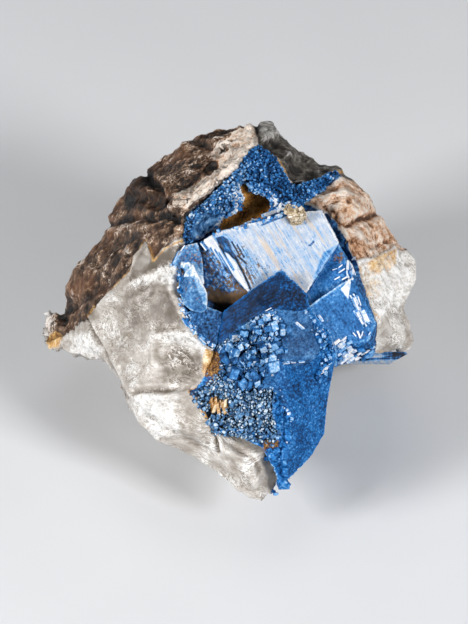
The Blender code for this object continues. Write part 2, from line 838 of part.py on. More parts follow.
def make_prism(rng):
    """The large crystal in front, with its druse grown on it."""
    rim = split_edges([display(spot) for spot in PRISM_OUTLINE.values()], PRISM_SPACING)
    marks = {name: display(spot) for name, spot in {**PRISM_OUTLINE, **PRISM_FRONT}.items()}
    inner = {name: place for name, place in marks.items() if name in PRISM_FRONT}
    back_marks = {name: display(spot) for name, spot in PRISM_BACK.items()}

    front = sheet([rim], inner, PRISM_CREASES, PRISM_SPACING, no_relief, rng)
    back = sheet([rim], back_marks, [], 1.4 * PRISM_SPACING, no_relief, rng)
    points, faces = relief_solid([rim], front, back)
    item = make_object("prism_crystal", points, faces)
    settle(item, [])
    cutter = socket(item)
    join_solids(item, [druse_blocks(front, np.random.default_rng(DRUSE_SEED))])
    return item, [cutter]


def make_crust(rng):
    """The blue crust round the hollow, a thin knobbly sheet bent round its opening."""
    outer = split_edges([display(spot) for spot in CRUST_OUTLINE.values()], 1.5 * MM)
    marks = {name: display(spot) for name, spot in CRUST_FRONT.items()}

    def knobs(points):
        return np.abs(lumps(points, CRUST_RELIEF)) + rng.uniform(0.0, CRUST_GRIT, len(points))

    def under(points):
        return np.full(len(points), -CRUST_DEPTH)

    front = sheet([outer], marks, [], DRUSE_SPACING, knobs, rng)
    back = sheet([outer], marks, [], 2.2 * DRUSE_SPACING, under, rng)
    points, faces = relief_solid([outer], front, back, CRUST_DEPTH)
    item = make_object("upper_druse", points, faces)
    settle(item, [])
    return item, [socket(item)]


def make_hulls(name, groups):
    """One or more flat-faced crystals, joined where they overlap."""
    items = []
    for number, spots in enumerate(groups):
        points, faces = hull_of_spots(spots)
        items.append(make_object(name if number == 0 else f"{name}_{number}", points, faces))
    cutters = [socket(item) for item in items]
    settle(items[0], [])
    join_solids(items[0], items[1:])
    return items[0], cutters


def make_cream(rng):
    """The small rough cream crystal, a knob of many small faces."""
    corners = []
    middle = np.mean(CREAM_LUMP, axis=0)
    levels = ((CREAM_BASE, 0.75), (CREAM_BASE + 1.6, 1.0), (CREAM_TOP - 0.8, 0.95), (CREAM_TOP, 0.6))
    for level, shrink in levels:
        for spot in CREAM_LUMP:
            across, down = middle + (np.array(spot) - middle) * shrink + rng.normal(0.0, 0.35, 2)
            corners.append((across, down, level))
    points, faces = hull_of_spots(corners)
    item = make_object("cream_crystal", points, faces)
    settle(item, [])
    return item, [socket(item)]


def make_underside():
    """The tabular crystal under the right quartz, sunk to half its thickness."""
    outer = np.array(UNDERSIDE_OUTER, dtype=float)
    inward = np.array([0.0, 1.0, 1.0]) / math.sqrt(2.0) * UNDERSIDE_THICKNESS
    middle = outer.mean(axis=0)
    inner = middle + (outer - middle) * 0.8 + inward
    points, faces = hull(np.vstack([outer, inner]) * MM)
    item = make_object("underside_crystal", points, faces)
    settle(item, [])
    return item, [socket(item)]


def main():
    """Build every piece, then cut the sockets so that each keeps its gap to its neighbours."""
    clear_scene()
    rng = np.random.default_rng(SCENE_SEED)
    matrix = make_matrix(rng)
    prism_sockets = make_prism(rng)[1]
    pale, pale_sockets = make_hulls("pale_crystal", [PALE_FACE + PALE_ROOT])
    left, left_sockets = make_hulls("left_crystals", [LEFT_RHOMB, LEFT_FACET, LEFT_FLOOR])
    right, right_sockets = make_hulls("right_crystals", [RIGHT_RHOMB, RIGHT_SHADED])
    cream_sockets = make_cream(rng)[1]
    underside_sockets = make_underside()[1]
    crust, crust_sockets = make_crust(rng)
    cut_sockets(pale, prism_sockets + cream_sockets)
    cut_sockets(left, prism_sockets + pale_sockets)
    cut_sockets(right, prism_sockets + pale_sockets)
    cut_sockets(crust, pale_sockets + left_sockets + right_sockets + cream_sockets)
    crystal_sockets = prism_sockets + pale_sockets + left_sockets + right_sockets + cream_sockets
    every_socket = crystal_sockets + underside_sockets + crust_sockets
    cut_sockets(matrix, every_socket)
    for cutter in every_socket:
        bpy.data.objects.remove(cutter, do_unlink=True)


main()
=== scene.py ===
"""Looks of a shattuckite specimen: blue crystals in a hollow of milky quartz with a brown rind.

Every piece is a surface worked out with numpy. A fine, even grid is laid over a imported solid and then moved
by a relief that is a function of the place in millimetres. Small crystals are one chamfered rhomb,
repeated in arrays. The places of marks are given in the sight frame: right and up as the viewer sees the
specimen, and out towards the viewer.
"""

import math

import bmesh
import bpy
import numpy as np
from bpy.props import FloatProperty, FloatVectorProperty, IntProperty, PointerProperty
from mathutils import Matrix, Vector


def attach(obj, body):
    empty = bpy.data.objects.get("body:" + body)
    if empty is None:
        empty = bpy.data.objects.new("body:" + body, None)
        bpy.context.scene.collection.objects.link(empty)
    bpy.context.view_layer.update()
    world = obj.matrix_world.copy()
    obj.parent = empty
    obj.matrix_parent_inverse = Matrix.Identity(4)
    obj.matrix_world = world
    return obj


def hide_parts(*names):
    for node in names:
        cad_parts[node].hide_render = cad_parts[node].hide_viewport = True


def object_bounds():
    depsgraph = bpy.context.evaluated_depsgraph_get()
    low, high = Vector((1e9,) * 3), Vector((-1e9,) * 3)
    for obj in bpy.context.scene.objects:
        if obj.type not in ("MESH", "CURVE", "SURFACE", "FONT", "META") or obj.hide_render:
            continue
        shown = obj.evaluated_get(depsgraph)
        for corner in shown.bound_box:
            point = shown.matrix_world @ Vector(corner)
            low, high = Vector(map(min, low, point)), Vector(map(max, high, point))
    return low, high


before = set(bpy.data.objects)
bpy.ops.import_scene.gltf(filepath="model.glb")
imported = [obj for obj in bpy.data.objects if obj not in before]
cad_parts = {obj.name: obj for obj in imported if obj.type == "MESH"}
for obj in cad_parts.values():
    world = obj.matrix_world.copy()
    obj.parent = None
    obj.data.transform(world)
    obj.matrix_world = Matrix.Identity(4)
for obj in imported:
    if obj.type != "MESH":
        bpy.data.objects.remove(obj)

bl_info = {
    "name": "Shattuckite specimen",
    "version": (1, 0, 0),
    "blender": (4, 5, 0),
    "location": "View3D > Sidebar > Specimen",
    "description": "Dresses the packed solids of a blue shattuckite specimen on milky quartz",
    "category": "Object",
}

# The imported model's box in metres, and how far inside it the pieces stay in millimetres
CAD_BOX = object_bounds()
BOX_MARGIN = 0.01
TWO_PI = 2 * math.pi

# The sight frame: the specimen is seen from its front, 45 degrees above the ground
MM = 0.001
LEAN = math.sqrt(0.5)

# The specimen's width in millimetres and in the photograph's pixels
WIDTH = 85.0
PHOTO_SPAN = 378
PIXEL = WIDTH / PHOTO_SPAN

# The frame's middle: its pixel, its height over the ground and how far it lies in front of the origin
PHOTO_MIDDLE = (228, 311)
LIFT = 43.8
MIDDLE_AHEAD = 10.95
TO_VIEWER = np.array([0.0, -LEAN, LEAN])

# Outlines of the rock's areas, in the photograph's pixels
RIND_LEFT = [(20, 330), (40, 345), (60, 335), (82, 318), (102, 296), (114, 283), (127, 270), (131, 255),
             (140, 243), (148, 240), (151, 258), (158, 250), (178, 241), (184, 236), (186, 215), (205, 203),
             (228, 182), (256, 145), (262, 128), (256, 100), (180, 90), (100, 150), (50, 220), (10, 300)]
RIND_RIGHT = [(304, 199), (318, 190), (337, 176), (350, 168), (360, 170), (430, 235), (405, 250), (395, 245),
              (380, 256), (357, 259), (349, 245), (344, 238), (330, 214)]
CAP = [(258, 140), (250, 110), (290, 100), (370, 160), (356, 180), (338, 172), (318, 184), (296, 186),
       (284, 165)]
BLUE = [(258, 143), (276, 157), (290, 182), (300, 186), (318, 178), (338, 170), (342, 177), (312, 196),
        (304, 203), (330, 216), (346, 240), (352, 257), (357, 262), (378, 325), (376, 352), (372, 357),
        (335, 368), (334, 400), (326, 434), (318, 450), (292, 482), (275, 500), (270, 494), (281, 478),
        (279, 455), (262, 440), (240, 430), (216, 430), (200, 400), (190, 391), (205, 384), (218, 378),
        (220, 360), (213, 347), (203, 339), (189, 324), (183, 311), (178, 287), (182, 271), (171, 263),
        (185, 246), (182, 236), (190, 214), (206, 201), (226, 180), (244, 159)]
HOLLOW = [(214, 232), (236, 229), (271, 214), (276, 204), (272, 196), (259, 191), (252, 190), (247, 182),
          (240, 185), (243, 199), (236, 210), (221, 218), (216, 225)]
STAIN_AREAS = [
    [(205, 347), (216, 351), (221, 370), (215, 381), (206, 385), (202, 372)],
    [(262, 440), (280, 441), (279, 453), (271, 457), (264, 449)],
    [(364, 263), (378, 255), (398, 247), (401, 262), (394, 273), (386, 268), (380, 276), (372, 270)],
    [(40, 338), (52, 330), (60, 336), (56, 347), (44, 350)],
]
CREAM_AREAS = [
    [(355, 263), (370, 262), (386, 274), (384, 296), (374, 302), (360, 288)],
]
STAIN_LINES = [
    ([(182, 241), (166, 248), (151, 260), (148, 239), (140, 243), (131, 256), (127, 270), (114, 283),
      (102, 295), (84, 316)], 0.26),
    ([(189, 390), (196, 399), (205, 414), (213, 430)], 0.5),
    ([(214, 430), (240, 433), (262, 440)], 0.35),
    ([(192, 391), (206, 386), (218, 379)], 0.8),
    ([(276, 154), (285, 166), (291, 180)], 0.35), ([(338, 170), (350, 168)], 0.5),
    ([(181, 271), (177, 288), (182, 312), (188, 325), (202, 340)], 0.25),
    ([(358, 264), (355, 284), (366, 306), (378, 322)], 0.25),
    ([(361, 266), (359, 284), (369, 303), (381, 318)], 0.2),
    ([(378, 326), (376, 340), (373, 352), (402, 354)], 0.25),
]
# The rind's lips: pink-tan, and lightened further by a painted highlight
LIP_AREAS = [
    [(172, 190), (190, 180), (205, 175), (218, 166), (232, 164), (224, 182), (211, 194), (200, 203),
     (190, 210), (178, 206)],
    [(208, 149), (222, 140), (240, 132), (254, 126), (261, 140), (250, 156), (238, 168), (226, 174),
     (217, 172), (213, 160)],
]
GREY_LINES = [
    ([(84, 318), (94, 336), (103, 352), (114, 376), (126, 398)], 0.8),
]
GREY_AREAS = [
    [(131, 268), (140, 252), (151, 262), (168, 250), (182, 243), (186, 250), (176, 262), (158, 268),
     (140, 276), (128, 280)],
    [(140, 282), (160, 286), (178, 296), (182, 322), (160, 330), (128, 322), (110, 310)],
    [(160, 356), (186, 350), (204, 366), (202, 384), (176, 386), (160, 374)],
]
BRIGHT_AREAS = [
    [(133, 284), (148, 272), (164, 261), (182, 263), (183, 276), (170, 286), (152, 281)],
    [(152, 338), (178, 333), (196, 334), (204, 348), (196, 352), (168, 344)],
    [(64, 338), (84, 334), (98, 352), (94, 365), (66, 352)],
    [(36, 316), (44, 308), (54, 310), (54, 326), (44, 336)],
    [(130, 402), (150, 392), (172, 400), (178, 436), (150, 438)],
    [(358, 258), (376, 254), (404, 250), (416, 270), (412, 296), (394, 312), (380, 318), (370, 300)],
    [(257, 116), (270, 110), (284, 122), (286, 138), (266, 138)],
]
LEFT_SPINE = [(30, 345), (62, 300), (90, 258), (122, 218), (158, 184), (200, 160), (262, 132)]
RIGHT_SPINE = [(296, 206), (330, 196), (352, 200), (375, 222), (392, 250)]

# Lines of the rock that are both a groove and dark, partly dirt and partly painted shade
LEFT_FOLD = [(108, 226), (123, 216), (146, 215), (167, 214), (180, 220)]
CAP_SEAM = [(256, 122), (257, 133), (263, 141)]
RIGHT_STEP = [(324, 207), (337, 212), (336, 219)]
RIGHT_FOLD = [(336, 222), (348, 225), (362, 219), (376, 214)]
LOW_CRACK = [(214, 431), (216, 440), (218, 452)]

# Deep folds and gaps of the rock, where dirt and shade gather
DARK_AREAS = [
    [(143, 207), (147, 196), (156, 192), (162, 198), (158, 207), (150, 212)],
    [(168, 192), (180, 184), (190, 178), (197, 172), (199, 176), (193, 182), (180, 190)],
    [(127, 178), (137, 170), (149, 175), (150, 187), (142, 198), (142, 206), (126, 208), (124, 190)],
    [(343, 199), (349, 199), (347, 206)],
    [(206, 412), (214, 412), (228, 430), (214, 430)],
    # Under the pale plate: painted shade
    [(206, 288), (228, 296), (246, 294), (262, 296), (240, 318), (216, 314)],
]
DARK_LINES = [
    ([(150, 172), (152, 181), (158, 188)], 0.7),
    (CAP_SEAM, 0.6),
    (RIGHT_STEP, 0.6),
    (RIGHT_FOLD, 0.5),
    (LEFT_FOLD, 0.6),
    ([(84, 320), (94, 338), (103, 354), (113, 378), (124, 398)], 0.3),
    (LOW_CRACK, 0.3),
]

# Directions of the lines on the faces, in degrees that they fall to the right
PLATE_LINES = 57
LEFT_LINES = 62
RIGHT_LINES = 60
PRISM_LINES = -28
BREAK_LINES = 28
CAP_LINES = 25

# Where the rock's coverings end, in millimetres: right of the middle, above the ground and behind the middle
RINDS_MEET = 12
REAR_RIND_RIGHT = 25
REAR_RIND_FOOT = 20
BLUE_DEPTH = 26
HOLLOW_DEPTH = 25
FAR_OUTSIDE = -5

# Relief that counts as full height or depth, against the rock close by and further round it; in the colour it
# is painted highlight on crests and painted shade in hollows
NEAR_RELIEF = 0.12
FAR_RELIEF = 0.7

# Turns of smoothing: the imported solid's facets, the rock's large form and a crystal's faces
FACET_TURNS = 9
FORM_TURNS = 14
FACE_TURNS = 6

# Larger forms of the rock: a bent line, its half width and its height in millimetres, below zero for a groove
ROCK_FORMS = [
    ([(149, 172), (167, 159), (189, 148), (211, 141), (233, 131), (250, 127)], 1.9, 1.0),
    ([(166, 190), (179, 186), (196, 176), (206, 168), (212, 158)], 1.5, -0.7),
    ([(176, 200), (190, 194), (203, 190), (215, 179), (228, 170), (240, 158), (252, 142)], 1.7, 1.3),
    ([(134, 186), (139, 183)], 2.4, 1.6),
    ([(148, 177), (155, 187), (166, 195), (172, 199)], 0.9, -1.8),
    ([(151, 203), (155, 199)], 1.6, -1.8),
    ([(143, 204), (152, 212), (167, 209), (176, 204)], 0.9, 0.8),
    (LEFT_FOLD, 0.8, -1.6),
    ([(111, 230), (130, 225), (152, 226)], 1.0, 0.7),
    ([(152, 240), (166, 236), (181, 236)], 1.8, 0.9),
    ([(95, 264), (108, 250), (124, 240), (142, 230)], 0.8, -1.1),
    ([(70, 288), (84, 268), (98, 252)], 1.6, 0.8),
    ([(66, 310), (80, 298), (96, 286)], 0.8, -1.0),
    ([(44, 322), (52, 314)], 2.0, 0.9),
    ([(60, 316), (66, 330)], 0.8, -1.0),
    ([(192, 140), (210, 147), (216, 152)], 0.8, -0.9),
    (CAP_SEAM, 0.6, -1.0),
    ([(262, 125), (279, 128)], 2.6, 0.7),
    ([(290, 147), (304, 157), (320, 164), (334, 169)], 2.4, 0.4),
    ([(103, 230), (110, 212), (122, 194)], 2.4, 1.0),
    ([(184, 142), (198, 137), (214, 134)], 1.8, 0.6),
    ([(366, 198), (382, 222), (396, 242)], 1.8, 0.5),
    ([(175, 266), (175, 280), (177, 298), (180, 312)], 1.6, 0.9),
    ([(268, 145), (290, 160), (312, 172)], 1.6, -0.8),
    (RIGHT_STEP, 0.7, -1.6),
    ([(345, 200), (354, 206)], 2.6, 1.1),
    (RIGHT_FOLD, 0.7, -1.3),
    ([(352, 233), (366, 232)], 2.2, 0.7),
    ([(345, 243), (357, 241), (372, 246), (390, 240)], 0.6, -0.8),
    ([(305, 199), (319, 189), (337, 180)], 0.9, 0.7),
    ([(83, 320), (93, 338), (102, 354), (113, 378), (124, 398)], 0.55, -0.9),
    ([(88, 318), (98, 337), (107, 352), (118, 375), (128, 394)], 0.7, 0.5),
    ([(134, 392), (150, 389), (170, 388), (189, 388)], 0.6, -0.9),
    ([(136, 397), (155, 395), (178, 396)], 0.8, 0.6),
    ([(150, 336), (170, 333), (190, 336), (202, 346), (206, 362)], 0.8, 0.8),
    ([(160, 350), (178, 352), (190, 364)], 1.8, -0.8),
    ([(132, 300), (150, 288), (172, 288)], 0.8, 0.5),
    (LOW_CRACK, 0.45, -1.1),
    ([(226, 440), (244, 452), (262, 470)], 0.6, -0.6),
    ([(222, 448), (240, 464), (256, 486)], 0.9, 0.6),
    ([(150, 420), (176, 436), (204, 450)], 0.8, -0.5),
    ([(376, 262), (384, 285), (382, 310), (390, 332)], 0.8, 0.6),
    ([(392, 268), (399, 290), (396, 312)], 0.7, -0.6),
    ([(398, 320), (404, 336), (398, 350)], 0.8, 0.5),
    ([(414, 262), (418, 276), (416, 290)], 2.0, 0.5),
    ([(412, 322), (416, 334), (413, 346)], 2.0, 0.6),
]

# The pale plate: its top, the wedges at its left, its worn upper edge and the foot of its side, dark with
# painted shade
PALE_TOP = [(204, 240), (217, 234), (250, 224), (284, 214), (322, 210), (339, 242), (322, 252), (306, 294),
            (281, 268), (249, 291)]
PLATE_LEFT = [(203, 240), (217, 234), (228, 233), (236, 252), (253, 291), (244, 293), (222, 268)]
WHITE_WEDGES = [
    [(204, 240), (212, 236), (217, 243), (221, 252), (228, 264), (236, 276), (246, 290), (239, 289),
     (228, 277), (219, 265), (209, 251)],
    [(224, 252), (229, 254), (236, 262), (243, 275), (250, 291), (247, 291), (238, 279), (230, 265)],
]
PLATE_BLUE = [
    [(216, 238), (222, 236), (228, 239), (232, 250), (238, 260), (232, 258), (226, 252), (220, 247)],
    [(311, 243), (314, 239), (315, 242), (311, 246), (308, 246)],
    [(260, 225), (272, 219), (283, 215), (285, 217), (272, 222), (262, 226)],
]
PLATE_SLITS = [
    ([(220, 246), (226, 256), (234, 270)], 0.24), ([(211, 248), (218, 261), (227, 275), (236, 287)], 0.2),
    ([(215, 250), (222, 261), (231, 275), (239, 287)], 0.2), ([(219, 253), (226, 264), (236, 280)], 0.18),
    ([(236, 258), (243, 271), (250, 288)], 0.24), ([(232, 242), (240, 256)], 0.18),
    ([(238, 256), (246, 263)], 0.2), ([(246, 268), (253, 284)], 0.16), ([(237, 245), (244, 257)], 0.16),
    # The last slit is the painted shade under the cream lump
    ([(285, 214), (290, 222), (296, 221), (304, 218)], 0.3),
]
PLATE_FRECKLES = [(230, 244), (244, 246), (262, 262), (272, 272), (249, 291), (238, 268)]
PLATE_NOTCH = [(344, 240), (322, 252), (304, 296), (312, 298), (350, 250)]
PLATE_UPPER_EDGE = [(217, 234), (250, 224), (262, 219), (284, 213), (322, 210), (339, 242)]
SHADED_PLATE_FOOT = [(206, 288), (228, 293), (246, 290), (262, 296), (240, 318), (216, 314)]

# The prism: its upper faces, its hazy top, the druse on it and the marks on its faces
LEFT_SHADE = [(281, 269), (224, 310), (216, 345), (240, 340), (262, 318), (274, 309)]
RIGHT_SHADE = [(281, 269), (306, 293), (307, 308), (294, 311), (274, 309)]
PLATEAU = [(275, 309), (296, 312), (307, 309), (316, 328), (322, 338), (320, 352), (309, 362), (294, 366),
           (281, 358), (282, 345)]
RIGHT_EDGE = [(314, 330), (322, 330), (334, 350), (330, 364), (318, 384), (314, 380), (324, 356)]
FRONT_DRUSE = [(216, 347), (228, 338), (247, 322), (262, 314), (274, 310), (280, 322), (281, 350), (276, 366),
               (268, 382), (276, 394), (272, 412), (280, 434), (272, 446), (250, 440), (230, 436), (212, 436),
               (199, 412), (190, 394), (208, 383), (218, 372), (221, 356)]
COARSE_DRUSE = [(224, 346), (246, 324), (270, 312), (281, 316), (284, 346), (278, 366), (270, 386),
                (256, 394), (240, 388), (222, 378), (221, 358)]
LOW_PATCH = [(264, 446), (270, 444), (276, 450), (274, 460), (266, 458)]
STAIN_ON_PRISM = [
    [(208, 348), (219, 350), (222, 360), (222, 374), (215, 384), (204, 386)],
    [(262, 440), (279, 440), (280, 452), (272, 458), (263, 452)],
]
DRUSE_BORDER = [(281, 352), (275, 366), (268, 379), (277, 392), (286, 408), (291, 424), (290, 436)]
BLUE_BLOB = [(273, 394), (280, 396), (283, 410), (282, 428), (276, 428), (273, 414)]
RIB_LINE = [(287, 432), (285, 446), (283, 460), (284, 472), (282, 484)]

# The crystals beside the prism
LEFT_KNOB = [(181, 262), (187, 261), (192, 265), (196, 274), (196, 278), (190, 277), (184, 277), (186, 272),
             (182, 268)]
# A face of the left crystals lightened by a painted highlight
LEFT_PAINTED_LIT_FACE = [(191, 262), (196, 262), (201, 271), (204, 284), (209, 293), (209, 306), (203, 304),
                   (201, 296), (197, 288), (194, 280), (195, 274)]
# Pits of the left crystals, darkened by painted shade
LEFT_PITS = [
    [(197, 242), (200, 244), (204, 257), (201, 258)],
    [(181, 268), (184, 268), (185, 273), (182, 273)],
    [(188, 266), (190, 268), (189, 271)],
]

# Rows of pixels: where the left crystals' upper facet and lower part begin, and the underside crystal's top
LEFT_FACET_ROW = 262
LEFT_LOW_ROW = 300
UNDERSIDE_TOP_ROW = 352

# The underside crystal's lower edge near its tip, as millimetres right and up
UNDERSIDE_FOOT_RIGHT = (36.0, 37.5, 41.0)
UNDERSIDE_FOOT_UP = (-12.8, -11.4, -9.4)
WHITE_TRIANGLE = [(340, 289), (351, 278), (348, 299)]
RIB_AREAS = [
    [(346, 270), (352, 258), (358, 258), (356, 266), (351, 284), (346, 282)],
    [(348, 296), (355, 293), (360, 303), (353, 307)],
    [(353, 311), (361, 306), (371, 322), (364, 328)],
]
RIB_EDGE = [(357, 256), (355, 272), (359, 288), (367, 304), (379, 326), (377, 352)]
RIB_PITCH = 0.8
WHITE_BLOCKS = [
    [(336, 342), (345, 337), (352, 344), (362, 350), (374, 346), (373, 357), (352, 360), (338, 366)],
]
BROWN_SPOT = [(333, 254), (341, 252), (345, 258), (340, 265), (333, 262)]

# Thin white blades, from end to end
BLADES = [
    ((264, 318), (277, 308)), ((261, 318), (268, 313)), ((265, 311), (271, 308)), ((247, 322), (254, 328)),
    ((296, 322), (303, 330)), ((318, 315), (322, 322)), ((321, 329), (324, 334)), ((267, 340), (275, 332)),
    ((270, 341), (277, 335)), ((283, 364), (289, 360)), ((290, 360), (295, 363)), ((298, 360), (304, 362)),
    ((319, 378), (326, 366)), ((332, 271), (337, 269)), ((338, 269), (342, 265)), ((334, 281), (340, 277)),
    ((341, 281), (347, 277)), ((348, 269), (351, 262)), ((350, 276), (354, 269)), ((352, 260), (356, 257)),
    ((355, 311), (363, 324)), ((358, 309), (366, 322)), ((352, 332), (356, 336)), ((357, 330), (360, 338)),
    ((363, 330), (361, 336)), ((367, 336), (370, 332)), ((339, 341), (346, 336)), ((341, 344), (345, 340)),
    ((183, 318), (188, 326)), ((190, 330), (196, 334)), ((179, 298), (183, 306)), ((198, 338), (205, 345)),
    ((201, 242), (207, 250)), ((283, 432), (288, 448)), ((172, 263), (181, 252)), ((181, 252), (186, 246)),
    ((243, 224), (258, 219)), ((255, 222), (270, 214)), ((262, 216), (280, 209)), ((270, 212), (286, 206)),
    ((275, 217), (285, 213)), ((284, 205), (296, 200)), ((351, 298), (359, 310)), ((355, 296), (361, 305)),
    ((361, 309), (369, 322)), ((349, 259), (346, 272)), ((354, 263), (350, 276)), ((337, 274), (345, 269)),
]

# The crust round the hollow
SMOOTH_WALL = [(188, 238), (195, 220), (206, 210), (222, 214), (232, 222), (216, 240), (200, 246)]
CRUST_BAND = [(182, 236), (188, 214), (206, 200), (226, 181), (244, 162), (250, 182), (240, 200), (228, 212),
              (208, 208), (196, 216)]
CRUST = [(258, 144), (275, 157), (291, 184), (302, 186), (337, 171), (327, 188), (305, 202), (290, 208),
         (274, 211), (276, 200), (268, 194), (257, 191), (249, 190), (246, 180), (238, 186), (242, 200),
         (232, 210), (222, 216), (206, 206), (192, 216), (186, 240), (181, 236), (190, 214), (206, 202),
         (226, 181), (244, 160)]
CRUST_LIGHT = [
    [(248, 221), (257, 213), (268, 209), (286, 201), (285, 209), (270, 215), (262, 220)],
    [(266, 188), (275, 193), (279, 204), (274, 211), (270, 203), (268, 196)],
    [(235, 187), (241, 189), (241, 200), (236, 206), (231, 200)],
    [(196, 238), (206, 234), (216, 224), (222, 218), (220, 226), (212, 236), (204, 242)],
]
RIM_LINES = [
    ([(174, 264), (179, 275), (180, 290), (181, 305), (187, 319), (197, 333), (214, 347)], 0.4, 0.4),
    ([(214, 232), (222, 219), (236, 211), (244, 200)], 0.5, 0.7),
    ([(214, 431), (240, 430), (262, 436), (280, 436)], 0.8, 0.8),
    (DRUSE_BORDER, 0.5, 0.9),
    ([(306, 309), (316, 328), (330, 336), (334, 352)], 0.6, 0.8),
    ([(284, 212), (300, 203), (318, 192)], 0.6, 0.8),
    ([(262, 191), (270, 197), (274, 206), (268, 212)], 0.35, 0.45),
    ([(236, 229), (256, 221), (285, 214)], 0.5, 0.5),
    ([(268, 488), (274, 494), (280, 488)], 0.9, 0.8),
]
LUMP_GRID = 0.14
LUMP = [(285, 207), (291, 204), (301, 207), (303, 214), (297, 219), (288, 218)]
GOLDEN_BLADES = [(211, 403), (214, 407), (216, 403), (219, 408), (221, 404), (224, 407), (227, 404)]


def linear(code):
    """A colour written as #rrggbb, as the linear numbers that shaders take."""
    parts = [int(code[i:i + 2], 16) / 255 for i in (1, 3, 5)]
    return tuple(c / 12.92 if c <= 0.04045 else ((c + 0.055) / 1.055) ** 2.4 for c in parts) + (1.0,)


# Places

def to_sight(points):
    """Object millimetres to right, up and out: out grows towards the viewer."""
    y = points[:, 1] + MIDDLE_AHEAD
    z = points[:, 2] - LIFT
    return np.stack([points[:, 0], (y + z) * LEAN, (z - y) * LEAN], axis=1)


def from_sight(points):
    """Right, up and out back to object millimetres."""
    right, up, out = points[:, 0], points[:, 1], points[:, 2]
    return np.stack([right, (up - out) * LEAN - MIDDLE_AHEAD, (up + out) * LEAN + LIFT], axis=1)


def turn_from_sight(vectors):
    """Directions in the sight frame turned to the object's own frame, on the last axis."""
    right, up, out = vectors[..., 0], vectors[..., 1], vectors[..., 2]
    return np.stack([right, (up - out) * LEAN, (up + out) * LEAN], axis=-1)


def up_of(row):
    """Up in millimetres of a row of the photograph's pixels."""
    return (PHOTO_MIDDLE[1] - row) * PIXEL


def spots(pixels):
    """Pixels of the photograph as right and up in millimetres."""
    pixels = np.asarray(pixels, float)
    return np.stack([(pixels[:, 0] - PHOTO_MIDDLE[0]) * PIXEL, up_of(pixels[:, 1])], axis=1)


def segment_gaps(points, starts, ends):
    """Distance from each point to each segment."""
    run = ends - starts
    rise = points[:, None, :] - starts[None]
    share = np.clip((rise * run).sum(2) / np.maximum((run * run).sum(1), 1e-9), 0, 1)
    return np.hypot(*np.moveaxis(rise - share[..., None] * run, 2, 0))


def area(sight, outline):
    """Signed distance in millimetres from an outline: above zero inside it, below zero outside."""
    corners = spots(outline)
    after = np.roll(corners, -1, axis=0)
    gap = segment_gaps(sight[:, :2], corners, after).min(1)
    x, y = sight[:, 0, None], sight[:, 1, None]
    rising = (corners[:, 1] > y) != (after[:, 1] > y)
    run, rise = (after - corners).T
    slope = run / np.where(rise == 0, 1e-9, rise)
    crossed = rising & (x < corners[:, 0] + (y - corners[:, 1]) * slope)
    return np.where(crossed.sum(1) % 2 == 1, gap, -gap)


def along_band(sight, line):
    """How far along a bent line each point lies, and how far to its left, in millimetres."""
    corners = spots(line)
    starts, ends = corners[:-1], corners[1:]
    gap = segment_gaps(sight[:, :2], starts, ends)
    nearest = gap.argmin(1)
    lengths = np.hypot(*(ends - starts).T)
    reach = np.concatenate([[0], np.cumsum(lengths)[:-1]])
    run = (ends - starts)[nearest]
    rise = sight[:, :2] - starts[nearest]
    side = (run[:, 0] * rise[:, 1] - run[:, 1] * rise[:, 0]) / lengths[nearest]
    along = (run * rise).sum(1) / lengths[nearest] + reach[nearest]
    return along, side


def line_gap(sight, line):
    """Distance in millimetres from a bent line."""
    corners = spots(line)
    return segment_gaps(sight[:, :2], corners[:-1], corners[1:]).min(1)


def inside(sight, outlines, border):
    """From 0 outside to 1 inside any of the outlines, over a border in millimetres."""
    return np.maximum.reduce([ease(-border, border, area(sight, outline)) for outline in outlines])


def on_lines(sight, lines):
    """Up to 1 on any of the bent lines, falling off as a bell over each line's half width in millimetres."""
    return np.maximum.reduce([np.exp(-(line_gap(sight, line) / width) ** 2) for line, width in lines])


def ease(low, high, value):
    """Rises smoothly from 0 at low to 1 at high."""
    t = np.clip((value - low) / (high - low), 0, 1)
    return t * t * (3 - 2 * t)


# Randomness that depends on the place alone

def cell_numbers(cell, seed, count):
    """Numbers from 0 to 1 for each whole-number cell, mixed from its three places and a seed."""
    mixed = (cell[..., 0] * 73856093) ^ (cell[..., 1] * 19349663) ^ (cell[..., 2] * 83492791) ^ (seed * 40503)
    out = []
    for k in range(count):
        h = (mixed + k * 668265263) & 0xFFFFFFFF
        h = ((h ^ (h >> 15)) * 2246822519) & 0xFFFFFFFF
        h = ((h ^ (h >> 13)) * 3266489917) & 0xFFFFFFFF
        out.append(((h ^ (h >> 16)) & 0xFFFFFF) / 0xFFFFFF)
    return np.stack(out, axis=-1)


def noise(points, size, seed):
    """Gradient noise from -1 to 1: a random slope in each corner of a cubic grid, faded between them."""
    spot = points / size
    cell = np.floor(spot).astype(np.int64)
    part = spot - cell
    fade = part ** 3 * (part * (part * 6 - 15) + 10)
    total = np.zeros(len(points))
    for corner in np.ndindex(2, 2, 2):
        corner = np.array(corner)
        slope = cell_numbers(cell + corner, seed, 3) * 2 - 1
        weight = np.prod(np.where(corner == 1, fade, 1 - fade), axis=1)
        total += weight * (slope * (part - corner)).sum(1)
    return np.clip(total * 1.6, -1, 1)


def fractal(points, size, octaves, seed):
    """Layers of noise, each half the size and half the height of the one before."""
    total, height = np.zeros(len(points)), 1.0
    for k in range(octaves):
        total += height * noise(points, size * 0.5 ** k, seed + 31 * k)
        height *= 0.5
    return total


def ridges(points, size, octaves, seed):
    """Layers of sharp crests: one less the size of the noise, squared, around a mean of about zero."""
    total, height = np.zeros(len(points)), 1.0
    for k in range(octaves):
        total += height * ((1 - np.abs(noise(points, size * 0.5 ** k, seed + 17 * k))) ** 2 - 0.6)
        height *= 0.5
    return total


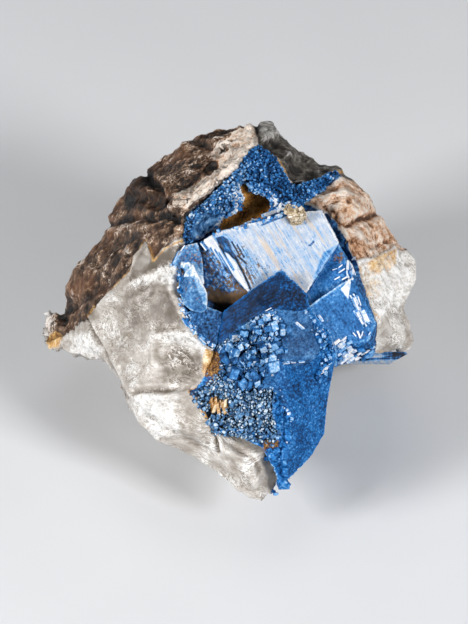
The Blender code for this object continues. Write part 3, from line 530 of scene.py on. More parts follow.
def scoops(points, size, lean, seed):
    """Shell-like breaks, mostly from -0.7 to 0.1.

    Each cube has a bowl about a random point, leaned its own way. The surface is the lowest of the bowls, so
    they meet in sharp crests.
    """
    spot = points / size
    cell = np.floor(spot).astype(np.int64)
    lowest = np.full(len(points), np.inf)
    for step in np.ndindex(3, 3, 3):
        other = cell + np.array(step) - 1
        numbers = cell_numbers(other, seed, 6)
        away = spot - other - numbers[:, :3]
        bowl = (away * away).sum(1) + lean * (away * (numbers[:, 3:] * 2 - 1)).sum(1)
        lowest = np.minimum(lowest, bowl)
    return np.clip(lowest, -0.6, 1.2) - 0.3


def domes(points, size, seed):
    """Round grains about one random point in each cube, and a number for each grain.

    A grain's height is one less the square of the distance from its point, and it fades where the second
    nearest point is about as near.
    """
    cell = np.floor(points / size).astype(np.int64)
    first = np.full(len(points), np.inf)
    second = np.full(len(points), np.inf)
    number = np.zeros(len(points))
    for step in np.ndindex(3, 3, 3):
        other = cell + np.array(step) - 1
        numbers = cell_numbers(other, seed, 4)
        away = points - (other + numbers[:, :3]) * size
        gap = np.sqrt((away * away).sum(1))
        closer = gap < first
        second = np.where(closer, first, np.minimum(second, gap))
        first = np.where(closer, gap, first)
        number = np.where(closer, numbers[:, 3], number)
    height = np.clip(1 - (first / (0.72 * size)) ** 2, 0, 1)
    return height * ease(0, 0.2, (second - first) / size), number


# Meshes as arrays

def fine_grid(node, spacing):
    """An even grid of four-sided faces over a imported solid, as points in millimetres and faces."""
    mesh = bpy.data.meshes.new("grid_source")
    work = bmesh.new()
    work.from_mesh(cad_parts[node].data)
    bmesh.ops.remove_doubles(work, verts=work.verts, dist=1e-6)
    work.to_mesh(mesh)
    work.free()
    source = bpy.data.objects.new("grid_source", mesh)
    bpy.context.scene.collection.objects.link(source)
    remesh = source.modifiers.new("even", "REMESH")
    remesh.mode = "VOXEL"
    remesh.voxel_size = spacing * MM
    bpy.context.view_layer.update()
    even = source.evaluated_get(bpy.context.evaluated_depsgraph_get()).to_mesh()
    points = np.empty(len(even.vertices) * 3, np.float32)
    even.vertices.foreach_get("co", points)
    faces = np.empty(len(even.loops), np.int32)
    even.loops.foreach_get("vertex_index", faces)
    if len(faces) != 4 * len(even.polygons):
        raise RuntimeError(f"the grid over {node} has faces that aren't four-sided")
    source.to_mesh_clear()
    bpy.data.objects.remove(source)
    bpy.data.meshes.remove(mesh)
    return points.reshape(-1, 3).astype(float) / MM, faces.reshape(-1, 4)


def neighbour_mean(values, faces):
    """The mean of each point's neighbours along the faces' edges."""
    starts = faces.ravel()
    ends = np.roll(faces, -1, axis=1).ravel()
    count = np.bincount(starts, minlength=len(values)) + np.bincount(ends, minlength=len(values))
    total = np.empty_like(values)
    for axis in range(values.shape[1]):
        total[:, axis] = (np.bincount(starts, values[ends, axis], len(values))
                          + np.bincount(ends, values[starts, axis], len(values)))
    return total / count[:, None]


def smooth(values, faces, turns, share=0.5):
    """Moves each point part of the way to the mean of its neighbours, several times."""
    for _ in range(turns):
        values = values + share * (neighbour_mean(values, faces) - values)
    return values


def ease_facets(points, faces, turns):
    """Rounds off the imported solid's facets and keeps its size: after each move in comes a move back out."""
    for _ in range(turns):
        points = smooth(points, faces, 1, 0.5)
        points = smooth(points, faces, 1, -0.53)
    return points


def normals(points, faces):
    """Outward unit normals at the points, from the crossed diagonals of the faces round them."""
    across = np.cross(points[faces[:, 2]] - points[faces[:, 0]], points[faces[:, 3]] - points[faces[:, 1]])
    total = np.empty_like(points)
    for axis in range(3):
        total[:, axis] = sum(np.bincount(faces[:, k], across[:, axis], len(points)) for k in range(4))
    return total / np.maximum(np.linalg.norm(total, axis=1), 1e-9)[:, None]


def relief_of(points, faces, turns):
    """How far each point stands proud of the surface smoothed round it, in millimetres."""
    return ((points - smooth(points, faces, turns)) * normals(points, faces)).sum(1)


def level_of(points, faces, turns):
    """How squarely the smoothed surface faces the viewer: 1 square on, 0 edge on, below zero behind."""
    return normals(smooth(points, faces, turns), faces) @ TO_VIEWER


def crystal_surface(node, spacing, turns):
    """The grid over a packed crystal, smoothed a little: points, faces, outward normals and sight places."""
    points, faces = fine_grid(node, spacing)
    points = smooth(points, faces, turns)
    return points, faces, normals(points, faces), to_sight(points)


def keep_in_box(points):
    """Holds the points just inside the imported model's box."""
    low, high = (np.array(corner) / MM for corner in CAD_BOX)
    return np.clip(points, low + BOX_MARGIN, high - BOX_MARGIN)


# Points and normals of each finished surface, by its piece's name
SURFACES = {}


def place(name, points, faces, marks, material, node, whole=True):
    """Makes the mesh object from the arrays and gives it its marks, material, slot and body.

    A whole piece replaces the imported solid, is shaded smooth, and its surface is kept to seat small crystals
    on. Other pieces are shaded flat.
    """
    if whole:
        SURFACES[name] = (points, normals(points, faces))
    mesh = bpy.data.meshes.new(name)
    mesh.vertices.add(len(points))
    mesh.vertices.foreach_set("co", (keep_in_box(points) * MM).astype(np.float32).ravel())
    mesh.loops.add(faces.size)
    mesh.loops.foreach_set("vertex_index", faces.astype(np.int32).ravel())
    mesh.polygons.add(len(faces))
    mesh.polygons.foreach_set("loop_start", np.arange(0, faces.size, faces.shape[1], dtype=np.int32))
    mesh.update(calc_edges=True)
    mesh.polygons.foreach_set("use_smooth", np.full(len(faces), whole))
    for mark, values in marks.items():
        values = np.asarray(values, np.float32)
        kind, field = ("FLOAT_VECTOR", "vector") if values.ndim == 2 else ("FLOAT", "value")
        mesh.attributes.new(mark, kind, "POINT").data.foreach_set(field, values.ravel())
    mesh.validate()
    mesh.materials.append(material)
    piece = bpy.data.objects.new(name, mesh)
    bpy.context.scene.collection.objects.link(piece)
    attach(piece, "root")
    if whole:
        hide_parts(node)


# Small crystals: one chamfered rhomb, repeated

# The flat part of each side, as a share of the rhomb
CHAMFER = 0.82


def rhomb_pattern():
    """Corners of a chamfered cube, four on each side, its faces, and a mark for the corners of its top."""
    corners = []
    for axis in range(3):
        for sign in (-1, 1):
            for a, b in ((-1, -1), (1, -1), (1, 1), (-1, 1)):
                corner = [0.0, 0.0, 0.0]
                corner[axis] = sign
                corner[(axis + 1) % 3] = a * CHAMFER
                corner[(axis + 2) % 3] = b * CHAMFER
                corners.append(corner)
    work = bmesh.new()
    for corner in corners:
        work.verts.new(corner)
    bmesh.ops.convex_hull(work, input=list(work.verts))
    bmesh.ops.recalc_face_normals(work, faces=list(work.faces))
    work.verts.index_update()
    faces = np.array([[v.index for v in face.verts] for face in work.faces], np.int32)
    points = np.array([v.co[:] for v in work.verts])
    work.free()
    return points, faces, (points[:, 2] > 0.99).astype(float)


def rhombs(middles, frames, halves, lean):
    """One rhomb at each middle: the pattern is scaled by its half sizes, leaned and turned by its frame."""
    points, faces, top = rhomb_pattern()
    leaned = points.copy()
    leaned[:, 0] += lean * points[:, 2]
    leaned[:, 1] += 0.5 * lean * points[:, 0]
    shaped = np.einsum("nij,nkj->nki", frames, leaned[None] * halves[:, None, :]) + middles[:, None, :]
    many = (faces[None] + np.arange(len(middles))[:, None, None] * len(points)).reshape(-1, 3)
    return shaped.reshape(-1, 3), many.astype(np.int32), np.tile(top, len(middles)), len(points)


def scatter(outline, spacing, rng):
    """Right and up of the points of a jittered grid that are inside an outline."""
    corners = spots(outline)
    low, high = corners.min(0), corners.max(0)
    steps = np.ceil((high - low) / spacing).astype(int) + 1
    rows = np.stack(np.meshgrid(np.arange(steps[0]), np.arange(steps[1]), indexing="ij"), -1).reshape(-1, 2)
    points = low + (rows + rng.uniform(-0.45, 0.45, rows.shape)) * spacing
    return points[area(points, outline) > 0]


def scatter_on_line(line, spacing, width, rng):
    """Right and up of points strewn along a bent line, mostly within width of it."""
    corners = spots(line)
    lengths = np.linalg.norm(np.diff(corners, axis=0), axis=1)
    reach = np.concatenate([[0], np.cumsum(lengths)])
    along = np.arange(0, reach[-1], spacing)
    along = along + rng.uniform(-0.5, 0.5, len(along)) * spacing
    points = np.stack([np.interp(along, reach, corners[:, 0]), np.interp(along, reach, corners[:, 1])], 1)
    return points + rng.normal(0, width / 2, points.shape)


class FrontMap:
    """For each small square of the sight plane, the point of the given surfaces nearest to the viewer.

    Squares and the empty border before them are in millimetres. Squares left empty take a neighbour's point.
    """

    SQUARE = 0.4
    BORDER = 1
    SPARE_SQUARES = 6
    LEAST_LEVEL = 0.2

    def __init__(self, surfaces):
        points = np.concatenate([p for p, _ in surfaces])
        self.facing = np.concatenate([n for _, n in surfaces])
        self.sight = to_sight(points)
        self.low = self.sight[:, :2].min(0) - self.BORDER
        square = ((self.sight[:, :2] - self.low) / self.SQUARE).astype(int)
        self.squares = np.full(square.max(0) + self.SPARE_SQUARES, -1)
        order = np.argsort(self.sight[:, 2])
        self.squares[square[order, 0], square[order, 1]] = order
        for _ in range(2):
            for shift in ((1, 0), (-1, 0), (0, 1), (0, -1)):
                moved = np.roll(self.squares, shift, (0, 1))
                self.squares = np.where(self.squares < 0, moved, self.squares)

    def seat(self, flat):
        """The seats under right and up points, none on a face turned away: sight places and normals."""
        square = np.clip(((flat - self.low) / self.SQUARE).astype(int), 0, np.array(self.squares.shape) - 1)
        found = self.squares[square[:, 0], square[:, 1]]
        good = (found >= 0) & (self.facing[found] @ TO_VIEWER > self.LEAST_LEVEL)
        return np.column_stack([flat, self.sight[found, 2]])[good], self.facing[found][good]


def frames_on(facing, rng, tilt, turn=None):
    """Axes for small crystals: the third is the normal, leaned by about tilt, and the first is turned.

    A turn is the first axis's mean angle and its spread, and without one it takes any angle.
    """
    up = facing + rng.normal(0, tilt, facing.shape)
    up /= np.linalg.norm(up, axis=1)[:, None]
    angle = rng.uniform(0, TWO_PI, len(up)) if turn is None else turn[0] + rng.normal(0, turn[1], len(up))
    side = turn_from_sight(np.stack([np.cos(angle), np.sin(angle), np.zeros(len(up))], 1))
    side -= (side * up).sum(1)[:, None] * up
    side /= np.linalg.norm(side, axis=1)[:, None]
    return np.stack([side, np.cross(up, side), up], axis=2)


def half_sizes(rng, count, small, large, least, most):
    """Half sizes in millimetres: one size for each crystal, and its three sides each a share of that."""
    return rng.uniform(small, large, (count, 1)) * rng.uniform(least, most, (count, 3))


# Materials

def add(tree, kind, links=None, out=0, stops=None, **settings):
    """Adds one node and gives an output of it: fields set, inputs linked or filled, a ramp's stops placed."""
    made = tree.nodes.new("ShaderNode" + kind)
    for field, value in settings.items():
        setattr(made, field, value)
    for socket, source in (links or {}).items():
        if isinstance(source, bpy.types.NodeSocket):
            tree.links.new(source, made.inputs[socket])
        else:
            made.inputs[socket].default_value = source
    if stops:
        ramp = made.color_ramp
        while len(ramp.elements) < len(stops):
            ramp.elements.new(0.5)
        for element, (position, colour) in zip(ramp.elements, stops):
            element.position = position
            element.color = linear(colour) if isinstance(colour, str) else tuple(colour)
    return made.outputs[out] if len(made.outputs) else made


def per_mm(size):
    """Scale of a pattern on Object coordinates whose features are this many millimetres."""
    return 1 / (size * MM)


def start_material(name, marks=(), noises=()):
    """A new material with an empty tree, its Object coordinates and its parts by name.

    The parts are the marks that it reads from the mesh, and noises: the size of their features in
    millimetres, their detail and their roughness.
    """
    material = bpy.data.materials.new(name)
    material.use_nodes = True
    tree = material.node_tree
    tree.nodes.clear()
    where = add(tree, "TexCoord", out="Object")
    parts = {mark: add(tree, "Attribute", out="Fac", attribute_name=mark) for mark in marks}
    for noise_name, size, detail, roughness in noises:
        parts[noise_name] = add(tree, "TexNoise", {
            "Vector": where, "Scale": per_mm(size), "Detail": detail, "Roughness": roughness})
    return material, tree, where, parts


def rock_material(colours):
    """Milky vein quartz, broken and weathered.

    The quartz is white and lets light in a little way, with grey clearer parts, a glassy gloss, and fine white
    hairs along its breaks that are partly white veils and partly painted highlight; its small facets carry
    painted shading. The rind is iron-stained quartz in strands: near black in its folds, pink-tan and dusty on
    its crests and lips, partly its own colour and partly painted shade in the folds and painted highlight on
    the crests and lips. Ochre runs along the seams, and the hollow's floor is rusty brown. The real grit is
    finer than the render shows, so it is drawn 0.3 mm wide.
    """
    material, tree, where, parts = start_material(
        "milky_quartz_with_iron_rind",
        ("rind", "cap", "blue", "hollow", "stain", "lip", "blush", "bright", "grey", "near", "far", "dark"),
        (("grit", 0.32, 4.0, 0.75), ("ragged", 0.9, 5.0, 0.7), ("middle", 2.1, 5.0, 0.65),
         ("broad", 7.5, 3.0, 0.55), ("patches", 5.0, 3.0, 0.5)))

    # Patterns drawn out along the strands and breaks; the strand mark holds millimetres
    strand = add(tree, "Attribute", out="Vector", attribute_name="strand")
    drawn = add(tree, "Mapping", {"Vector": strand, "Scale": (0.3, 1.0, 0.8)})
    parts["streak"] = add(tree, "TexNoise", {
        "Vector": drawn, "Scale": 1.1, "Detail": 6.0, "Roughness": 0.72, "Distortion": 0.6})
    # White hairs: partly white veils in the quartz and partly painted highlight of light caught on the ripples
    # of its breaks
    hairs = 0.0
    for scale, width, share in ((0.55, 0.04, 1.0), (1.4, 0.065, 0.8)):
        # A hair lies wherever the noise passes through its middle value
        wave = add(tree, "TexNoise", {
            "Vector": drawn, "Scale": scale, "Detail": 3.0, "Roughness": 0.6, "Distortion": 1.2})
        gap = add(tree, "Math", {0: wave, 1: 0.5}, operation="SUBTRACT")
        gap = add(tree, "Math", {0: gap}, operation="ABSOLUTE")
        hair = add(tree, "MapRange", {0: gap, 1: 0.0, 2: width, 3: share, 4: 0.0},
                   interpolation_type="SMOOTHSTEP")
        hairs = add(tree, "Math", {0: hair, 1: hairs}, operation="MAXIMUM")
    veil = add(tree, "Math", {0: parts["bright"], 1: 0.16, 2: parts["patches"]}, operation="MULTIPLY_ADD")
    veil = add(tree, "MapRange", {0: veil, 1: 0.4, 2: 0.72})
    parts["hairs"] = add(tree, "Math", {0: hairs, 1: veil}, operation="MULTIPLY")

    # Small broken facets: each cell of a warped cell pattern leans its own way and has its own painted
    # shading, stronger where the quartz is bright
    warp = add(tree, "TexNoise", {"Vector": where, "Scale": per_mm(1.3), "Detail": 3.0}, out="Color")
    warped = add(tree, "VectorMath", {0: warp, 1: (2.2, 2.2, 2.2), 2: drawn}, operation="MULTIPLY_ADD")
    for name, scale in (("large_cell", 0.8), ("small_cell", 2.0)):
        parts[name] = add(tree, "TexVoronoi", {"Vector": warped, "Scale": scale}, out="Color")
    cells = add(tree, "VectorMath", {0: parts["large_cell"], 1: parts["small_cell"]}, operation="ADD")
    shaded = add(tree, "Math", {0: parts["bright"], 1: 0.42, 2: 0.08}, operation="MULTIPLY_ADD")
    parts["facets"] = add(tree, "Math", {0: parts["small_cell"], 1: shaded}, operation="MULTIPLY")

    # Each sum is a starting value, and parts times their weights
    # The near and far weights are painted highlight on crests and painted shade in hollows, and the dark
    # weights are dirt and painted shade
    for name, total, weights in (
            ("clear", 0.02, {"broad": 0.5, "middle": 0.35, "grit": 0.25, "facets": 1.0, "grey": 0.24,
                             "streak": 0.25, "bright": -0.54, "near": -0.12, "far": -0.12, "hairs": -0.85,
                             "dark": 0.6}),
            ("shade", -1.87, {"broad": 0.6, "middle": 0.7, "streak": 1.5, "grit": 1.45, "near": 0.2,
                              "far": 0.22, "blush": 0.18, "bright": 0.44, "hairs": 1.0, "dark": -0.5}),
            ("crust", -1.2, {"middle": 0.6, "grit": 0.9, "streak": 0.8, "large_cell": 0.4, "small_cell": 0.45,
                             "near": 0.3, "far": 0.3, "hairs": 0.25, "dark": -0.4, "bright": 0.35}),
            ("depth", -0.5, {"middle": 0.8, "grit": 1.1, "near": 0.25, "far": 0.1, "dark": -0.5}),
            ("grain", -1.15, {"middle": 1.7, "grit": 1.5, "near": 0.2}),
            ("amber", -1.15, {"middle": 1.7, "grit": 1.5, "near": 0.2, "bright": 0.1}),
            ("edge", -1.0, {"ragged": 1.5, "grit": 0.5}),
            ("stained", -1.43, {"ragged": 1.2, "middle": 1.0, "broad": 0.8, "stain": 1.0, "bright": -0.2})):
        for part, weight in weights.items():
            total = add(tree, "Math", {0: parts[part], 1: weight, 2: total}, operation="MULTIPLY_ADD")
        parts[name] = total
    finishes = {}
    for name, part, stops in (
            ("quartz", "clear", ((0.0, colours.quartz_white), (0.25, "#edeae6"), (0.5, "#ccc6bf"),
                                 (0.75, "#a49b91"), (1.0, colours.quartz_clear))),
            ("rind", "shade", ((0.0, "#0c0705"), (0.2, colours.rind_dark), (0.4, "#513a2a"),
                               (0.58, "#785a43"), (0.78, colours.rind_light), (0.93, "#dcc4ae"),
                               (1.0, "#f8efe6"))),
            ("cap", "crust", ((0.0, "#1c1815"), (0.2, "#3e3832"), (0.45, "#5e5850"), (0.75, "#86807a"),
                              (1.0, "#c9c6c1"))),
            ("blue", "depth", ((0.0, "#020812"), (0.2, colours.blue_deep), (0.5, colours.blue_felt),
                               (0.75, "#3f86c6"), (1.0, colours.blue_pale))),
            ("floor", "grain", ((0.0, "#6a3a0e"), (0.25, "#a5661c"), (0.5, colours.hollow_brown),
                                (1.0, "#f0c070"))),
            ("stain", "amber", ((0.05, "#6b481a"), (0.35, colours.stain), (0.6, "#e6b25c"),
                                (0.9, "#f8e7c6"))),
            ("blush", "shade", ((0.0, "#4f3524"), (0.22, "#9c6b47"), (0.42, "#cf9f7a"), (0.62, "#e6bf9f"),
                                (0.9, "#f8eadc")))):
        finishes[name] = add(tree, "ValToRGB", {0: parts[part]}, stops=stops)
    rust = add(tree, "MapRange", {0: parts["broad"], 1: 0.48, 2: 0.7, 3: 0.0, 4: 0.55})
    finishes["rind"] = add(tree, "Mix", {0: rust, 6: finishes["rind"], 7: linear("#7d4f2c")}, out=2,
                           data_type="RGBA")

    # Each finish covers those before it, inside a ragged border; the blush and the stain leave the gloss
    parts["lip"] = add(tree, "Math", {0: parts["lip"], 1: 0.5}, operation="SUBTRACT")
    parts["stained"] = add(tree, "MapRange", {0: parts["stained"], 1: 0.36, 2: 1.0, 3: 0.0, 4: 0.95})
    colour, covered = finishes["quartz"], 0.0
    for part, finish, border in (("rind", "rind", 0.14), ("lip", "blush", 0.14), ("cap", "cap", 0.14),
                                 ("stained", "stain", None), ("blue", "blue", 0.1), ("hollow", "floor", 0.1)):
        here = parts[part]
        if border:
            here = add(tree, "Math", {0: here, 1: parts["edge"]}, operation="ADD")
            here = add(tree, "MapRange", {0: here, 1: -border, 2: border}, interpolation_type="SMOOTHSTEP")
        colour = add(tree, "Mix", {0: here, 6: colour, 7: finishes[finish]}, out=2, data_type="RGBA")
        if finish not in ("blush", "stain"):
            covered = add(tree, "Math", {0: here, 1: covered}, operation="MAXIMUM")

    # The height is parts times weights, which grow by another weight where the quartz is covered
    height = 0.0
    for part, weight, growth in (("grit", 0.18, 0.55), ("ragged", 0.2, 1.0), ("streak", 0.35, 0.9)):
        weight = add(tree, "Math", {0: covered, 1: growth, 2: weight}, operation="MULTIPLY_ADD")
        height = add(tree, "Math", {0: parts[part], 1: weight, 2: height}, operation="MULTIPLY_ADD")
    height = add(tree, "Math", {0: parts["hairs"], 1: 0.12, 2: height}, operation="MULTIPLY_ADD")
    bump = add(tree, "Bump", {"Strength": 1.0, "Distance": 0.3 * MM, "Height": height})
    amount = 0.03
    for value, weight in ((veil, 0.1), (parts["bright"], 0.4), (covered, 0.5)):
        amount = add(tree, "Math", {0: value, 1: weight, 2: amount}, operation="MULTIPLY_ADD")
    lean = add(tree, "VectorMath", {0: cells, 1: (1.0, 1.0, 1.0)}, operation="SUBTRACT")
    lean = add(tree, "VectorMath", {0: lean, "Scale": amount}, operation="SCALE")
    normal = add(tree, "VectorMath", {0: bump, 1: lean}, operation="ADD")
    normal = add(tree, "VectorMath", {0: normal}, operation="NORMALIZE")
    glow = add(tree, "Math", {0: covered, 1: -0.14, 2: 0.14}, operation="MULTIPLY_ADD")
    roughness = add(tree, "Math", {0: covered, 1: 0.24, 2: 0.05}, operation="MULTIPLY_ADD")
    roughness = add(tree, "Math", {0: parts["grit"], 1: 0.26, 2: roughness}, operation="MULTIPLY_ADD")
    surface = add(tree, "BsdfPrincipled", {
        "Base Color": colour, "Roughness": roughness, "IOR": 1.544, "Subsurface Weight": glow,
        "Subsurface Radius": (1.0, 0.95, 0.88), "Subsurface Scale": 1.0 * MM, "Normal": normal})
    add(tree, "OutputMaterial", {0: surface})
    return material


def felt_material(name, colours, specks):
    """Shattuckite, a fine felt of blue fibres over quartz crystals.

    The felt is silky and nearly dull: deep blue where thick and pale on tops, partly its own colour and partly
    painted highlight, with painted highlight on edges, painted shade in the gaps and rust-brown specks of
    limonite. Where it is dusted with clay it is a grey olive blue. On smooth faces its grain is faint. The
    real fibres are far too fine to show, so the grain is drawn 0.4 mm wide.
    """
    material, tree, where, parts = start_material(
        name, ("tone", "edge", "speck", "dust", "grain"),
        (("fine", 0.4, 3.0, 0.7), ("middle", 1.1, 4.0, 0.65), ("broad", 5.0, 2.0, 0.5),
         ("dots", 0.55, 5.0, 0.8), ("groups", 4.0, 2.0, 0.5)))
    pebbles = add(tree, "TexVoronoi", {"Vector": where, "Scale": per_mm(0.55)}, feature="SMOOTH_F1")
    relief = add(tree, "Math", {0: pebbles, 1: -0.4, 2: parts["fine"]}, operation="MULTIPLY_ADD")
    relief = add(tree, "Math", {0: parts["middle"], 1: 0.6, 2: relief}, operation="MULTIPLY_ADD")
    relief = add(tree, "Math", {0: relief, 1: 0.64}, operation="SUBTRACT")
    parts["relief"] = add(tree, "Math", {0: relief, 1: parts["grain"]}, operation="MULTIPLY")
    for result, total, weights in (
            ("shade", -0.19, {"relief": 1.1, "broad": 0.45, "tone": 1.0, "edge": 1.0}),
            ("spotted", 0.0, {"dots": 0.8, "groups": 0.4, "speck": specks})):
        for part, weight in weights.items():
            total = add(tree, "Math", {0: parts[part], 1: weight, 2: total}, operation="MULTIPLY_ADD")
        parts[result] = total
    colour = add(tree, "ValToRGB", {0: parts["shade"]}, stops=[
        (0.0, "#01060f"), (0.18, colours.blue_deep), (0.38, colours.blue_felt), (0.56, "#2a7cc4"),
        (0.72, colours.blue_pale), (0.88, "#c3d5ec"), (1.0, "#f4f5f7")])
    dust = add(tree, "ValToRGB", {0: parts["shade"]}, stops=[
        (0.0, "#070a0c"), (0.3, "#33474f"), (0.6, "#7f979d"), (1.0, "#d5dde0")])
    dusted = add(tree, "Math", {0: parts["dust"], 1: parts["middle"]}, operation="MULTIPLY")
    rust = add(tree, "ValToRGB", {0: parts["fine"]}, stops=[
        (0.35, "#2e1d0e"), (0.5, "#85592c"), (0.65, "#c09a5e")])
    spotted = add(tree, "MapRange", {0: parts["spotted"], 1: 0.8, 2: 0.85}, interpolation_type="SMOOTHSTEP")
    for share, finish in ((dusted, dust), (spotted, rust)):
        colour = add(tree, "Mix", {0: share, 6: colour, 7: finish}, out=2, data_type="RGBA")
    bump = add(tree, "Bump", {"Strength": 0.8, "Distance": 0.13 * MM, "Height": parts["relief"]})
    roughness = add(tree, "Math", {0: parts["fine"], 1: 0.25, 2: 0.45}, operation="MULTIPLY_ADD")
    surface = add(tree, "BsdfPrincipled", {
        "Base Color": colour, "Roughness": roughness, "IOR": 1.6, "Specular IOR Level": 0.14, "Normal": bump})
    add(tree, "OutputMaterial", {0: surface})
    return material


def plate_material(name, colours):
    """Quartz plate thinly coated with pale shattuckite, grooved by growth lines.

    Lavender white, with short hairs of blue in the grooves, faint tan streaks and a silky gloss. The finest
    growth lines are closer than a pixel, so they are drawn as coarse as they need to show.
    """
    material, tree, where, parts = start_material(
        name, ("tone", "edge", "speck", "tan", "hairs", "side"),
        (("fine", 0.22, 3.0, 0.7), ("middle", 1.6, 4.0, 0.6), ("dots", 0.5, 4.0, 0.75)))
    # The strand mark holds millimetres along and across the growth lines
    strand = add(tree, "Attribute", out="Vector", attribute_name="strand")
    for pattern, stretch, detail, roughness in (("streak", (0.14, 1.6, 0.3), 4.0, 0.65),
                                                ("hair", (0.7, 5.5, 1.0), 3.0, 0.7)):
        drawn = add(tree, "Mapping", {"Vector": strand, "Scale": stretch})
        parts[pattern] = add(tree, "TexNoise", {
            "Vector": drawn, "Scale": 1.0, "Detail": detail, "Roughness": roughness})
    hair = add(tree, "MapRange", {0: parts["hair"], 1: 0.5, 2: 0.72}, interpolation_type="SMOOTHSTEP")
    parts["haired"] = add(tree, "Math", {0: hair, 1: parts["hairs"]}, operation="MULTIPLY")
    # Blue beads on the plate's side, dark between them
    beads = add(tree, "TexVoronoi", {"Vector": where, "Scale": per_mm(0.8)}, feature="SMOOTH_F1")
    beads = add(tree, "Math", {0: 0.42, 1: beads}, operation="SUBTRACT")
    parts["beads"] = add(tree, "Math", {0: beads, 1: parts["side"]}, operation="MULTIPLY")
    # The edge mark is painted highlight on edges and painted shade in gaps
    for result, total, weights in (
            ("shade", -0.85, {"fine": 0.5, "middle": 0.45, "streak": 0.75, "haired": -0.45, "beads": 0.9,
                              "tone": 1.0, "edge": 0.8}),
            ("spotted", 0.0, {"dots": 0.8, "middle": 0.4, "speck": 0.28})):
        for part, weight in weights.items():
            total = add(tree, "Math", {0: parts[part], 1: weight, 2: total}, operation="MULTIPLY_ADD")
        parts[result] = total
    colour = add(tree, "ValToRGB", {0: parts["shade"]}, stops=[
        (0.0, "#020812"), (0.15, colours.blue_deep), (0.33, "#1a67ab"), (0.5, colours.blue_pale),
        (0.66, "#abbcd3"), (0.82, "#ccd2db"), (1.0, "#efeeec")])
    tanned = add(tree, "Math", {0: parts["tan"], 1: parts["streak"]}, operation="MULTIPLY")
    spotted = add(tree, "MapRange", {0: parts["spotted"], 1: 0.77, 2: 0.83}, interpolation_type="SMOOTHSTEP")
    rust = add(tree, "Mix", {0: parts["fine"], 6: linear("#2a1e12"), 7: linear("#8a6840")}, out=2,
               data_type="RGBA")
    for share, finish in ((tanned, linear("#dcbd94")), (spotted, rust)):
        colour = add(tree, "Mix", {0: share, 6: colour, 7: finish}, out=2, data_type="RGBA")
    height = add(tree, "Math", {0: parts["haired"], 1: -0.8, 2: parts["fine"]}, operation="MULTIPLY_ADD")
    bump = add(tree, "Bump", {"Strength": 0.5, "Distance": 0.06 * MM, "Height": height})
    roughness = add(tree, "Math", {0: parts["fine"], 1: 0.2, 2: 0.3}, operation="MULTIPLY_ADD")
    surface = add(tree, "BsdfPrincipled", {
        "Base Color": colour, "Roughness": roughness, "IOR": 1.55, "Normal": bump})
    add(tree, "OutputMaterial", {0: surface})
    return material


def stone_bit_material(name, dark, middle_colour, light, rough):
    """Small pieces of iron-stained quartz: grainy, from a dark foot to a light crown, partly painted shade and
    painted highlight, with a glassy gloss.
    """
    material, tree, _, parts = start_material(
        name, ("tone",), (("fine", 0.3, 3.0, 0.7), ("middle", 1.0, 3.0, 0.6)))
    shade = -0.75
    for part, weight in (("fine", 1.0), ("middle", 0.5), ("tone", 1.0)):
        shade = add(tree, "Math", {0: parts[part], 1: weight, 2: shade}, operation="MULTIPLY_ADD")
    colour = add(tree, "ValToRGB", {0: shade}, stops=[(0.05, dark), (0.45, middle_colour), (0.9, light)])
    bump = add(tree, "Bump", {"Strength": 0.7, "Distance": 0.1 * MM, "Height": parts["fine"]})
    surface = add(tree, "BsdfPrincipled", {
        "Base Color": colour, "Roughness": rough, "IOR": 1.544, "Normal": bump})
    add(tree, "OutputMaterial", {0: surface})
    return material


# Settings that a user would change

LENGTH = {"precision": 5, "unit": "LENGTH"}
COLOUR = {"subtype": "COLOR", "size": 4, "min": 0, "max": 1}


class SpecimenSizes(bpy.types.PropertyGroup):
    """Sizes of the grids, the relief and the small crystals."""

    rock_grid: FloatProperty(name="Rock grid", description="Spacing of the grid over the quartz and rind",
                             default=0.52 * MM, min=0.3 * MM, max=2 * MM, **LENGTH)
    crystal_grid: FloatProperty(name="Crystal grid", description="Spacing of the grid over the blue crystals",
                                default=0.22 * MM, min=0.15 * MM, max=1 * MM, **LENGTH)
    fold_height: FloatProperty(name="Fold height", description="Height of the rind's folds",
                               default=1 * MM, min=0.0, max=2 * MM, **LENGTH)
    break_depth: FloatProperty(name="Break depth", description="Depth of the quartz's shell-like breaks",
                               default=1 * MM, min=0.0, max=2 * MM, **LENGTH)
    grain_size: FloatProperty(name="Crust grain", description="Width of the round grains of the upper crust",
                              default=0.8 * MM, min=0.5 * MM, max=2 * MM, **LENGTH)
    druse_spacing: FloatProperty(name="Druse spacing", description="Distance between the fine crystals",
                                 default=0.62 * MM, min=0.3 * MM, max=2 * MM, **LENGTH)
    block_spacing: FloatProperty(name="Block spacing", description="Distance between the large crystals",
                                 default=1.7 * MM, min=1 * MM, max=4 * MM, **LENGTH)
    druse_seed: IntProperty(name="Druse seed", description="Another number strews the small crystals anew",
                            default=11)


